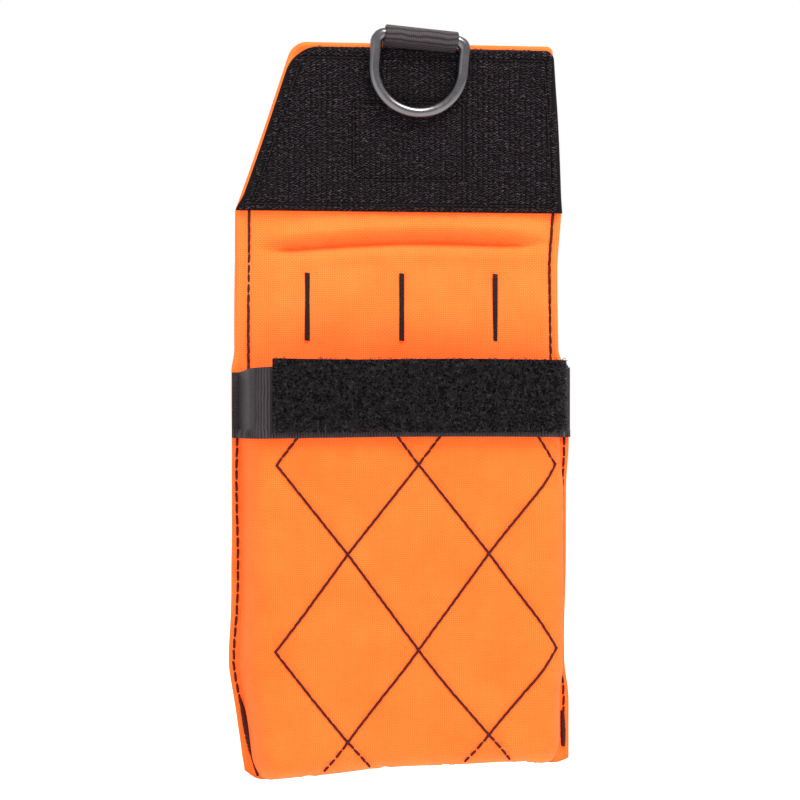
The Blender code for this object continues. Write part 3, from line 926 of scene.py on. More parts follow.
@dataclass
class Tufts:
    """Short bent filaments that stand on a surface.

    Attributes:
        name: The piece's name.
        places: Where each stands.
        finish: The filament.
        reach: From its foot to its tip, across.
        rise: The height of its bend's handle.
        back: The height of its tip, which is nought where both ends are rooted.
        filament: Its thickness.
        tilt: The most it leans.
        turn: The most it turns about its own root.
    """

    name: str
    places: Places
    finish: Finish
    reach: float
    rise: float
    back: float
    filament: float
    tilt: float
    turn: float

    def make(self) -> bpy.types.Object:
        """Set the filaments, and give the piece."""
        piece = new_piece(self.name, cloud_mesh(self.name, self.places))
        values = {
            "Reach": self.reach,
            "Rise": self.rise,
            "Return": self.back,
            "Filament": self.filament,
            "Tilt": self.tilt,
            "Turn": self.turn,
            "Finish": self.finish.material(),
        }
        return run_tree(piece, TuftTree.tree(), values)


# ---------------------------------------------------------------------------------------------
# Where the cloth lies


@dataclass
class Layout:
    """The pouch's own places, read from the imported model's nodes.

    Heights are above the bottom of the pocket and depths are forwards from the inner face of the
    back, both in metres, so a place on the pouch is (across, depth, height).
    """

    base: Vector = field(init=False)
    half: float = field(init=False)
    mouth: float = field(init=False)
    front: float = field(init=False)
    back: float = field(init=False)
    crease: float = field(init=False)
    front_crease: float = field(init=False)
    free_edge: float = field(init=False)
    flange_depth: float = 1.5 * MM
    lift_places: tuple = (-57.0, -50.0, -32.0, -8.0, 14.0, 34.0, 57.0)
    lift_heights: tuple = (0.6, 0.2, 1.8, 4.0, 4.4, 5.2, 3.6)
    taper_height: float = 38.0 * MM
    taper: float = 4.6 * MM
    seam_roll: float = 2.2 * MM
    wall_roll: float = 1.6 * MM
    lift_reach: float = 45.0 * MM
    hem_edge: float = 56.5
    hem_radius: float = 3.2
    hem_reach: float = 9.0 * MM
    corner_bulge: float = 0.9 * MM
    roll_starts: tuple = (25.0 * MM, 38.0 * MM)
    roll_ends: tuple = (112.0 * MM, 96.0 * MM)

    def __post_init__(self) -> None:
        """Read the nodes' boxes."""
        shell_low, shell_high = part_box("front_shell")
        back_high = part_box("back_shell")[1]
        self.base = Vector((0.0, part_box("back_lining")[0][1], shell_low[2]))
        self.half = back_high[0]
        self.mouth = shell_high[2] - self.base.z
        self.front = self.base.y - shell_low[1]
        self.back = back_high[1] - self.base.y
        self.crease = (back_high[2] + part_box("bridge_shell")[0][2]) / 2 - self.base.z
        self.front_crease = (
            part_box("bridge_shell")[1][2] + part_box("flap_shell")[0][2]
        ) / 2 - self.base.z
        self.free_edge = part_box("flap_shell")[1][2] - self.base.z

    def box(self, node: str) -> tuple[Vector, Vector]:
        """A node's box as (across, depth, height), nearest the front first in depth."""
        low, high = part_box(node)
        near = Vector((low[0], self.base.y - low[1], low[2] - self.base.z))
        far = Vector((high[0], self.base.y - high[1], high[2] - self.base.z))
        return near, far

    def world(self, places: Places) -> Places:
        """Turn (across, depth, height) into places in the object's frame."""
        places = np.asarray(places, float)
        turned = places * np.array([1.0, -1.0, 1.0])
        return turned + np.array(self.base)

    def settle(self, places: Places) -> Places:
        """Let places on the pouch settle as its worn bottom does.

        The bottom hem is uneven with rounded corners, the lower left corner is drawn in, and
        above the lower right corner the wall rolls out over its seam, which is drawn in behind it.

        Args:
            places: Rows of (across, depth, height).

        Returns:
            The settled rows.
        """
        places = np.array(places, float)
        across = places[..., 0] / MM
        height = places[..., 2]
        step = np.linspace(-57.0, 57.0, 115)
        lift = np.interp(step, self.lift_places, self.lift_heights)
        lift = np.convolve(
            np.pad(lift, 8, mode="edge"), np.hanning(17) / np.hanning(17).sum(), "valid"
        )
        low = 1.0 - smoothstep(0.0, self.lift_reach, height)
        places[..., 2] += np.interp(across, step, lift) * MM * low
        near = np.clip(1.0 + (np.abs(across) - self.hem_edge) / self.hem_radius, 0.0, 1.0)
        rise = self.hem_radius * MM * (1.0 - np.sqrt(1.0 - near**2))
        places[..., 2] += rise * smoothstep(self.hem_reach, 0.0, height)
        drawn = np.clip(1.0 - height / self.taper_height, 0.0, None) ** 1.15
        leftness = smoothstep(-30.0, -57.0, across)
        places[..., 0] += self.taper * drawn * leftness
        bulge = hump(height, self.taper_height + 2.0 * MM, 12.0 * MM)
        places[..., 0] -= self.corner_bulge * bulge * leftness
        rolled = smoothstep(*self.roll_starts, height) * smoothstep(*self.roll_ends, height)
        rolled *= smoothstep(30.0, 50.0, across)
        forward = np.clip(places[..., 1] / self.front, 0.0, 1.0)
        drawn_in = self.seam_roll * (0.7 + 0.3 * hump(height, 46.0 * MM, 16.0 * MM))
        places[..., 0] += rolled * (
            self.wall_roll * hump(forward, 0.55, 0.45) - drawn_in * hump(forward, 0.0, 0.3)
        )
        return places


def sheet_mesh(name: str, outer: Places, inner: Places, cloth: Places) -> bpy.types.Mesh:
    """Close two grids of places into one sheet with a thickness.

    Where the grids meet they share their vertices, and elsewhere their borders are joined by
    walls.

    Args:
        name: The mesh's name.
        outer: Rows of columns of places on the face whose normal points forwards.
        inner: The same on the other face.
        cloth: Rows of columns of places on the flat cloth, for the weave.

    Returns:
        The mesh, with its cloth map.
    """
    rows, columns = outer.shape[:2]
    outer_index = np.arange(rows * columns).reshape(rows, columns)
    apart = np.linalg.norm(outer - inner, axis=-1) > 1e-6
    inner_index = np.where(
        apart, np.cumsum(apart).reshape(apart.shape) - 1 + rows * columns, outer_index
    )
    places = np.vstack([outer.reshape(-1, 3), inner[apart]])
    flat = np.vstack([cloth.reshape(-1, 2), cloth[apart]])
    faces = []

    def add_face(*corners: int) -> None:
        """Keep a face's different corners, if there are enough."""
        kept = [c for i, c in enumerate(corners) if c != corners[i - 1]]
        if len(set(kept)) > 2:
            faces.append(tuple(int(c) for c in kept))

    for i in range(rows - 1):
        for j in range(columns - 1):
            a, b = outer_index, inner_index
            add_face(a[i, j], a[i, j + 1], a[i + 1, j + 1], a[i + 1, j])
            add_face(b[i, j], b[i + 1, j], b[i + 1, j + 1], b[i, j + 1])
    border = [(0, j) for j in range(columns)] + [(i, columns - 1) for i in range(1, rows)]
    border += [
        (rows - 1, j) for j in range(columns - 2, -1, -1)
    ] + [(i, 0) for i in range(rows - 2, -1, -1)]
    for here, there in zip(border, border[1:]):
        add_face(outer_index[there], outer_index[here], inner_index[here], inner_index[there])
    mesh = bpy.data.meshes.new(name)
    mesh.from_pydata(places.tolist(), [], faces)
    layer = mesh.uv_layers.new(name="Cloth")
    corner_of = np.empty(len(mesh.loops), int)
    mesh.loops.foreach_get("vertex_index", corner_of)
    layer.data.foreach_set("uv", flat[corner_of].ravel())
    mesh.update()
    mesh.shade_smooth()
    return mesh


def grid_normals(places: Places) -> Places:
    """Forward normals of a grid of places."""
    along = np.gradient(places, axis=1)
    up = np.gradient(places, axis=0)
    normals = np.cross(along, up)
    return normals / np.maximum(np.linalg.norm(normals, axis=-1, keepdims=True), 1e-12)


def rounded_path(corners: Sequence[tuple], counts: Sequence[int]) -> Places:
    """Places along a path whose inner corners are rounded, with a set number on each stretch.

    Args:
        corners: (a, b, radius) of each corner.
        counts: How many places to take on each straight and each bend in turn.

    Returns:
        Rows of (a, b), evenly spread on each stretch.
    """
    points = [Vector(corner[:2]) for corner in corners]
    out: list = []
    start = points[0]
    for i in range(1, len(points) - 1):
        before = (points[i - 1] - points[i]).normalized()
        after = (points[i + 1] - points[i]).normalized()
        half_angle = before.angle(after) / 2
        radius = corners[i][2]
        reach = radius / math.tan(half_angle)
        centre = points[i] + (before + after).normalized() * radius / math.sin(half_angle)
        first, last = points[i] + before * reach, points[i] + after * reach
        straight, bend = counts[2 * i - 2], counts[2 * i - 1]
        out += [start.lerp(first, k / straight) for k in range(straight)]
        spoke = first - centre
        sweep = -spoke.angle_signed(last - centre)
        for k in range(bend):
            c, s = math.cos(sweep * k / bend), math.sin(sweep * k / bend)
            out.append(centre + Vector((spoke.x * c - spoke.y * s, spoke.x * s + spoke.y * c)))
        start = last
    out += [start.lerp(points[-1], k / counts[-1]) for k in range(counts[-1] + 1)]
    return np.array([tuple(p) for p in out])


def arc_length(path: Places) -> Places:
    """Distance along a path from its first place."""
    steps = np.linalg.norm(np.diff(path, axis=0), axis=1)
    return np.concatenate([[0.0], np.cumsum(steps)])


# ---------------------------------------------------------------------------------------------
# The pocket


@dataclass
class Quilting:
    """Four zigzag lines of stitching that make diamonds on the padded front.

    A place on the quilted cloth is (across along the cloth, height).
    """

    middle: float = 3.7 * MM
    half_wide: float = 23.2 * MM
    rows_mm: tuple = (134.8, 104.5, 75.4, 44.0, 11.9, -18.0)
    bottom: float = 3.2 * MM
    ways: tuple = (
        (-1, -2, -1, 0, 1, 2),
        (-1, 0, 1, 2, 1, 0),
        (1, 0, -1, -2, -1, 0),
        (1, 2, 1, 0, -1, -2),
    )

    def corners(self, index: int) -> Places:
        """The corners of one zigzag, from above the band to below the bottom."""
        across = [self.middle + self.half_wide * column for column in self.ways[index]]
        return np.column_stack([across, np.array(self.rows_mm) * MM])

    def runs(self, index: int, top: float, pitch: float) -> list[Places]:
        """The straight stretches of one zigzag, which stop half a stitch short of each corner."""
        corners = self.corners(index)
        kept = []
        for start, end in zip(corners, corners[1:]):
            long = math.dist(start, end)
            share = np.linspace(pitch / 2, long - pitch / 2, round(long / (0.9 * MM))) / long
            run = start + (end - start) * share[:, None]
            run = run[(run[:, 1] < top) & (run[:, 1] > self.bottom)]
            if len(run) > 3:
                kept.append(run)
        return kept

    def distance(self, across: Places, height: Places) -> Places:
        """How far places on the cloth are from the nearest line."""
        best = np.full(np.shape(across), 1.0)
        for index in range(len(self.ways)):
            corners = self.corners(index)
            for (ax, az), (bx, bz) in zip(corners, corners[1:]):
                dx, dz = bx - ax, bz - az
                share = ((across - ax) * dx + (height - az) * dz) / (dx * dx + dz * dz)
                share = np.clip(share, 0.0, 1.0)
                away = np.hypot(across - ax - share * dx, height - az - share * dz)
                best = np.minimum(best, away)
        return best

    def along(self, across: Places, height: Places) -> Places:
        """A rising measure along the lines, for the puckers beside the stitches."""
        return np.hypot(across, height) + 0.35 * across


@dataclass
class Pocket:
    """The padded front of the pocket, with its slanting sides and its rounded bottom."""

    layout: Layout
    quilting: Quilting = field(default_factory=Quilting)
    foot: float = 53.3 * MM
    shoulder: float = 49.6 * MM
    corner: float = 7.0 * MM
    slack: float = 0.9 * MM
    thickness: float = 2.3 * MM
    flange_thickness: float = 0.9 * MM
    bottom_round: float = 9.0 * MM
    bottom_inset: float = 5.0 * MM
    wall_rows: int = 64
    round_rows: int = 9
    pressure: float = 4.0
    swell: float = 2.2 * MM
    frames: int = 20
    surface: BVHTree | None = field(default=None, init=False)
    counts: tuple = (2, 2, 7, 6, 48, 6, 7, 2, 2)

    def section(self, inset: float, face: float) -> Places:
        """The pocket's outline at one height, from the left seam edge round to the right.

        Args:
            inset: How much narrower it is on each side than at its widest.
            face: The depth of its front.

        Returns:
            Rows of (across, depth).
        """
        low = self.layout.flange_depth
        radius = min(self.corner - 0.5 * inset, (face - low) * 0.55)
        tip = self.layout.half
        corners = [
            (-tip, low, 0),
            (inset - self.foot, low, 0.8 * MM * min(1.0, (face - low) / (4 * MM))),
            (inset - self.shoulder, face, radius),
            (self.shoulder - inset, face, radius),
            (self.foot - inset, low, 0.8 * MM * min(1.0, (face - low) / (4 * MM))),
            (tip, low, 0),
        ]
        return rounded_path(corners, self.counts)

    def grid(self) -> tuple[Places, Places]:
        """The outer surface as rows from the bottom up, and its places on the flat cloth."""
        face = self.layout.front - self.slack
        turns = np.linspace(math.pi / 2, 0.0, self.round_rows, endpoint=False)
        low = self.layout.flange_depth + 0.9 * MM
        rows = []
        for turn in turns:
            inward = 1.0 - math.cos(turn)
            depth = low + (face - low) * math.cos(turn) ** 0.8
            rows.append(
                (self.bottom_inset * inward, depth, self.bottom_round * (1.0 - math.sin(turn)))
            )
        heights = np.linspace(self.bottom_round, self.layout.mouth, self.wall_rows)
        rows += [(0.0, face, z) for z in heights]
        places = []
        for inset, depth, height in rows:
            line = self.section(inset, depth)
            places.append(np.column_stack([line, np.full(len(line), height)]))
        places = np.array(places)
        across = arc_length(self.section(0.0, face))
        across -= across[-1] / 2
        middle = places[:, places.shape[1] // 2, 1:]
        up = arc_length(middle)
        up += self.layout.mouth - up[-1]
        cloth = np.stack(np.meshgrid(across, up), axis=-1)
        return places, cloth

    def thin(self, shape: tuple[int, int]) -> Places:
        """The pad's thickness over the grid, thinner in the seams and at the mouth."""
        rows, columns = shape
        column = np.arange(columns)
        from_edge = np.minimum(column, columns - 1 - column)
        across = self.flange_thickness + (
            self.thickness - self.flange_thickness
        ) * smoothstep(3, 8, from_edge)
        row = np.arange(rows)
        up = 0.45 + 0.55 * smoothstep(0, 5, row) * (
            1.0 - 0.5 * smoothstep(rows - 12, rows - 2, row)
        )
        return np.outer(up, across)

    def inflate(self, piece: bpy.types.Object, held: Places) -> None:
        """Let the pad swell between its stitches, with cloth under pressure.

        Args:
            piece: The closed pad.
            held: How firmly each vertex is held, from nought to one.
        """
        group = piece.vertex_groups.new(name="Held")
        for step in np.unique(np.round(held, 2)):
            chosen = np.nonzero(np.round(held, 2) == step)[0]
            group.add(chosen.tolist(), float(step), "REPLACE")
        before = points_of(piece.data)
        cloth = piece.modifiers.new("Swelling", "CLOTH")
        cloth.settings.quality = 5
        cloth.settings.mass = 0.15
        cloth.settings.tension_stiffness = 12.0
        cloth.settings.compression_stiffness = 8.0
        cloth.settings.shear_stiffness = 5.0
        cloth.settings.bending_stiffness = 0.3
        cloth.settings.vertex_group_mass = group.name
        cloth.settings.use_pressure = True
        cloth.settings.uniform_pressure_force = self.pressure
        cloth.settings.effector_weights.gravity = 0.0
        cloth.collision_settings.use_collision = False
        cloth.point_cache.frame_start = 1
        cloth.point_cache.frame_end = self.frames
        scene = bpy.context.scene
        for frame in range(1, self.frames + 1):
            scene.frame_set(frame)
        settled(piece)
        scene.frame_set(1)
        moved = points_of(piece.data) - before
        size = np.linalg.norm(moved, axis=1, keepdims=True)
        capped = self.swell * np.tanh(size / self.swell) / np.maximum(size, 1e-12)
        put_points(piece.data, before + moved * capped)
        LOG.info("The pad swelled by up to %.2f mm", size.max() / MM)

    def place(self, across: float, height: float) -> tuple[Vector, Vector]:
        """A place on the ideal front and its outward normal, in the object's frame."""
        line = self.section(0.0, self.layout.front)
        length = arc_length(line)
        length -= length[-1] / 2
        here = np.array([np.interp(across, length, line[:, k]) for k in (0, 1)])
        near = np.array([np.interp(across + 0.2 * MM, length, line[:, k]) for k in (0, 1)])
        tangent = (near - here) / np.linalg.norm(near - here)
        place = self.layout.world(self.layout.settle([[here[0], here[1], height]]))[0]
        return Vector(place), Vector((-tangent[1], -tangent[0], 0.0))

    def on_surface(self, run: Places, lift: float) -> Places:
        """Lay places on the quilted cloth down on the finished surface."""
        laid = []
        for across, height in run:
            place, normal = self.place(across, height)
            hit = self.surface.ray_cast(place + normal * 8 * MM, -normal, 20 * MM)
            ground = hit[0] if hit[0] else place
            laid.append(tuple(ground + normal * lift))
        return np.array(laid)

    def make(self) -> bpy.types.Object:
        """Build the pad, let it swell, and pull the quilting into it."""
        outer, cloth = self.grid()
        normals = grid_normals(outer * np.array([1.0, -1.0, 1.0])) * np.array([1.0, -1.0, 1.0])
        inner = outer - normals * self.thin(outer.shape[:2])[..., None]
        world_outer = self.layout.world(self.layout.settle(outer))
        world_inner = self.layout.world(self.layout.settle(inner))
        mesh = sheet_mesh("pocket_pad", world_outer, world_inner, cloth)
        piece = new_piece("pocket_pad", mesh, OUTER_CLOTH.material())
        across, height = cloth[..., 0], cloth[..., 1]
        near_line = 1.0 - smoothstep(0.6 * MM, 2.4 * MM, self.quilting.distance(across, height))
        edge = 1.0 - smoothstep(2.0 * MM, 9.0 * MM, across.max() - np.abs(across))
        top = smoothstep(self.layout.mouth - 26 * MM, self.layout.mouth - 22 * MM, height)
        bottom = 1.0 - smoothstep(height.min(), height.min() + 7 * MM, height)
        held = np.maximum.reduce([near_line, edge, top, bottom]).ravel()
        held = np.concatenate([held, np.ones(len(mesh.vertices) - len(held))])
        self.inflate(piece, held)
        self.sew_down(piece)
        return piece

    def sew_down(self, piece: bpy.types.Object) -> None:
        """Subdivide the pad, and draw it in along the quilting with small puckers."""
        finer = piece.modifiers.new("Finer", "SUBSURF")
        finer.levels = 1
        finer.render_levels = 1
        settled(piece)
        mesh = piece.data
        corner_of = np.empty(len(mesh.loops), int)
        mesh.loops.foreach_get("vertex_index", corner_of)
        flat = np.empty(len(mesh.loops) * 2)
        mesh.uv_layers["Cloth"].data.foreach_get("uv", flat)
        cloth = np.zeros((len(mesh.vertices), 2))
        cloth[corner_of] = flat.reshape(-1, 2)
        across, height = cloth[:, 0], cloth[:, 1]
        places, normals = points_of(mesh), normals_of(mesh)
        away = self.quilting.distance(across, height)
        below_band = 1.0 - smoothstep(
            self.layout.mouth - 26 * MM, self.layout.mouth - 23 * MM, height
        )
        groove = hump(away, 0.0, 1.2 * MM) * 0.60 * MM
        pucker = np.sin(self.quilting.along(across, height) / (3.1 * MM) * math.tau)
        pucker *= hump(away, 2.0 * MM, 1.9 * MM) * 0.14 * MM
        rolls = waves(across, height, 3, 34 * MM) * 0.22 * MM
        inward = (pucker - groove) * below_band + rolls * smoothstep(
            1.0, 8.0, (57 * MM - np.abs(across)) / MM
        )
        put_points(mesh, places + normals * inward[:, None])
        mesh.shade_smooth()
        self.surface = BVHTree.FromPolygons(
            points_of(mesh).tolist(), [p.vertices[:] for p in mesh.polygons]
        )


@dataclass
class Mouth:
    """The elastic band round the pocket's mouth, and the loop tape sewn to its front."""

    layout: Layout
    pocket: Pocket
    band_top: float = 136.6 * MM
    band_low: float = 113.4 * MM
    band_lift: float = 0.35 * MM
    band_thickness: float = 0.9 * MM
    selvedge: float = 2.4 * MM
    ribbed_from: float = -50.5 * MM
    ribbed_to: float = -41.0 * MM
    rib: float = 0.85 * MM
    tape_left: float = -44.2 * MM
    tape_right: float = 52.4 * MM
    tape_low: float = 115.2 * MM
    tape_top: float = 138.9 * MM
    tape_thickness: float = 1.3 * MM
    loops: int = 11000

    def line(self, lift: float, step: float, start: float, end: float) -> tuple[Places, Places]:
        """Part of the outline at the mouth, moved outwards.

        Args:
            lift: How far it stands off the pocket's cloth.
            step: From one place to the next.
            start: Where it begins, across along the cloth.
            end: Where it ends.

        Returns:
            Rows of (across, depth), and each row's distance across along the cloth.
        """
        line = self.pocket.section(0.0, self.layout.front)
        length = arc_length(line)
        length -= length[-1] / 2
        where = np.linspace(start, end, int((end - start) / step) + 1)
        path = np.stack([np.interp(where, length, line[:, k]) for k in (0, 1)], axis=1)
        for _ in range(int(1.5 * MM / step)):
            path[1:-1] = (path[:-2] + 2 * path[1:-1] + path[2:]) / 4
        tangent = np.gradient(path, axis=0)
        tangent /= np.linalg.norm(tangent, axis=1, keepdims=True)
        outward = np.column_stack([-tangent[:, 1], tangent[:, 0]])
        return path + outward * lift, where

    def ends(self) -> float:
        """How far along the cloth the outline reaches to each side."""
        return arc_length(self.pocket.section(0.0, self.layout.front))[-1] / 2

    def top_at(self, where: Places) -> Places:
        """The band's top edge, which dips towards the left seam."""
        dip = 2.0 * MM * smoothstep(-42.0 * MM, -66.0 * MM, where)
        return self.band_top - dip + 0.25 * MM * np.sin(where / (19 * MM))

    def make_band(self) -> bpy.types.Object:
        """Wrap the band round the mouth, with its ribs and its finer selvedge."""
        reach = self.ends()
        path, where = self.line(self.band_lift + self.band_thickness, 0.21 * MM, -reach, reach)
        inner_path, _ = self.line(self.band_lift, 0.21 * MM, -reach, reach)
        top = self.top_at(where)
        low = self.band_low + 0.3 * MM * np.sin(where / (23 * MM) + 1.0)
        shares = np.concatenate(
            [np.linspace(0.0, 0.10, 6), np.linspace(0.14, 0.9, 9), np.linspace(0.93, 1.0, 4)]
        )
        in_ribs = smoothstep(self.ribbed_from, self.ribbed_from + 2 * MM, where)
        in_ribs *= 1.0 - smoothstep(self.ribbed_to - 1 * MM, self.ribbed_to, where)
        ribs = np.abs(np.sin(where / self.rib * math.pi)) * in_ribs * 0.42 * MM
        fine = np.abs(np.sin(where / (0.95 * MM) * math.pi)) * 0.42 * MM
        tangent = np.gradient(path, axis=0)
        tangent /= np.linalg.norm(tangent, axis=1, keepdims=True)
        outward = np.column_stack([-tangent[:, 1], tangent[:, 0]])
        grids = []
        for base in (path, inner_path):
            rows = []
            for share in shares:
                height = low + (top - low) * share
                above = (height - low) / self.selvedge
                edge = 1.0 - smoothstep(0.85, 1.1, above)
                relief = ribs * (1.0 - edge) + fine * edge + 0.25 * MM * edge * hump(
                    above, 0.45, 0.5
                )
                relief = relief - 0.35 * MM * hump(above, 1.12, 0.12)
                relief = relief if base is path else 0.0 * relief
                moved = base + outward * relief[:, None]
                rows.append(np.column_stack([moved, height]))
            grids.append(np.array(rows))
        cloth = np.stack(
            np.meshgrid(where, low.mean() + (top.mean() - low.mean()) * shares), axis=-1
        )
        mesh = sheet_mesh(
            "mouth_band_cloth",
            self.layout.world(grids[0]),
            self.layout.world(grids[1]),
            cloth,
        )
        piece = new_piece("mouth_band_cloth", mesh, SATIN.material(), ELASTIC.material())
        self.choose_finish(mesh)
        return piece

    def choose_finish(self, mesh: bpy.types.Mesh) -> None:
        """Give the ribbed stretch of the band its own finish."""
        layer = mesh.uv_layers["Cloth"].data
        for face in mesh.polygons:
            u, v = layer[face.loop_start].uv
            ribbed = self.ribbed_from + 1 * MM < u < self.ribbed_to
            face.material_index = 1 if ribbed or v < self.band_low + self.selvedge else 0

    def make_tape(self) -> bpy.types.Object:
        """Lay the loop tape's ground over the band."""
        lift = self.band_lift + self.band_thickness + 0.2 * MM
        path, where = self.line(
            lift + self.tape_thickness, 0.6 * MM, self.tape_left, self.tape_right
        )
        inner_path, _ = self.line(lift, 0.6 * MM, self.tape_left, self.tape_right)
        shares = np.linspace(0.0, 1.0, 41)
        grids = []
        for base in (path, inner_path):
            rows = []
            for share in shares:
                height = self.tape_low + (self.tape_top - self.tape_low) * share
                rough = waves(where, np.full_like(where, height), 21, 2.2 * MM, 14) * 0.22 * MM
                rough = rough if base is path else 0.0 * rough
                edge = 0.35 * MM * np.sin(where / (11 * MM)) * (share - 0.5)
                rows.append(np.column_stack([base[:, 0], base[:, 1] + rough, height + edge]))
            grids.append(np.array(rows))
        cloth = np.stack(
            np.meshgrid(where, self.tape_low + (self.tape_top - self.tape_low) * shares), axis=-1
        )
        mesh = sheet_mesh(
            "loop_tape_ground", self.layout.world(grids[0]), self.layout.world(grids[1]), cloth
        )
        return new_piece("loop_tape_ground", mesh, PILE_GROUND.material())

    def make_pile(self) -> bpy.types.Object:
        """Stand the pile's loops on the tape, thickly and unevenly."""
        draw = np.random.default_rng(5)
        lift = self.band_lift + self.band_thickness + 0.2 * MM + self.tape_thickness
        path, where = self.line(lift, 0.6 * MM, self.tape_left, self.tape_right)
        across = draw.uniform(self.tape_left + 0.2 * MM, self.tape_right - 0.2 * MM, self.loops)
        height = draw.uniform(self.tape_low + 0.1 * MM, self.tape_top - 0.1 * MM, self.loops)
        clump = waves(across, height, 31, 3.2 * MM, 12)
        kept = clump + draw.normal(0.0, 0.8, self.loops) > -0.9
        across, height, clump = across[kept], height[kept], clump[kept]
        x = np.interp(across, where, path[:, 0])
        depth = np.interp(across, where, path[:, 1]) + 0.12 * MM * clump
        places = self.layout.world(np.column_stack([x, depth, height]))
        return Tufts(
            "loop_tape_pile",
            places,
            PILE_LOOPS,
            reach=1.25 * MM,
            rise=1.8 * MM,
            back=0.05 * MM,
            filament=0.18 * MM,
            tilt=0.8,
            turn=math.pi,
        ).make()


@dataclass
class PocketStitching:
    """The threads on the pocket: its quilting, its side seams and the bars that end them."""

    layout: Layout
    pocket: Pocket
    seam: float = 54.7 * MM
    tack_low: float = 1.5 * MM
    tack_high: float = 27.0 * MM
    right_tack_low: float = 6.2 * MM
    right_tack_high: float = 19.0 * MM
    quilting_pitch: float = 2.6 * MM
    thread: float = 0.85 * MM

    def on_flange(self, rows: Sequence[tuple]) -> Places:
        """Places on the front of the seam edge, from (across, height)."""
        depth = self.layout.flange_depth + 0.12 * MM
        return self.layout.world(self.layout.settle([[x, depth, z] for x, z in rows]))

    def quilting(self) -> list[bpy.types.Object]:
        """Sew the four zigzags into the pad."""
        made = []
        top = self.layout.mouth - 22 * MM
        for index in range(len(self.pocket.quilting.ways)):
            runs = self.pocket.quilting.runs(index, top, self.quilting_pitch)
            laid = [self.pocket.on_surface(run, 0.2 * MM) for run in runs]
            name = f"quilting_stitches_{index + 1}"
            sizes = {"pitch": self.quilting_pitch, "length": 2.8 * MM, "thread": self.thread}
            made.append(StitchLine(name, laid, **sizes).make())
        return made

    def side_seam(self, side: Side) -> bpy.types.Object:
        """Sew the seam that runs down one side, with long stitches."""
        low = self.tack_high if side is Side.LEFT else self.right_tack_high
        heights = np.linspace(low, 112.0 * MM, 40)
        wander = 0.25 * MM * np.sin(heights / (9 * MM))
        run = self.on_flange([(side.value * (self.seam - w), z) for w, z in zip(wander, heights)])
        name = f"side_seam_stitches_{side.name.lower()}"
        return StitchLine(name, [run], pitch=3.6 * MM, length=3.0 * MM, thread=self.thread).make()

    def bar(self, side: Side) -> bpy.types.Object:
        """Sew the dense bar that ends a side seam."""
        if side is Side.LEFT:
            rows = [(-54.5 * MM, self.tack_high), (-51.9 * MM, self.tack_low)]
        else:
            rows = [
                (self.seam - 0.6 * MM, self.right_tack_high),
                (self.seam - 0.3 * MM, self.right_tack_low)
            ]
        path = np.linspace(*rows, 30)
        width = 2.6 * MM if side is Side.LEFT else 1.7 * MM
        name = f"bar_tack_stitches_{side.name.lower()}"
        return StitchLine(
            name,
            [self.on_flange(path)],
            pitch=0.42 * MM,
            length=width,
            thread=0.48 * MM,
            rise=0.5 * MM,
            slant=1.35,
            uneven=0.12,
            taper=0.7 if side is Side.LEFT else 0.3,
        ).make()


# ---------------------------------------------------------------------------------------------
# The back and the flap


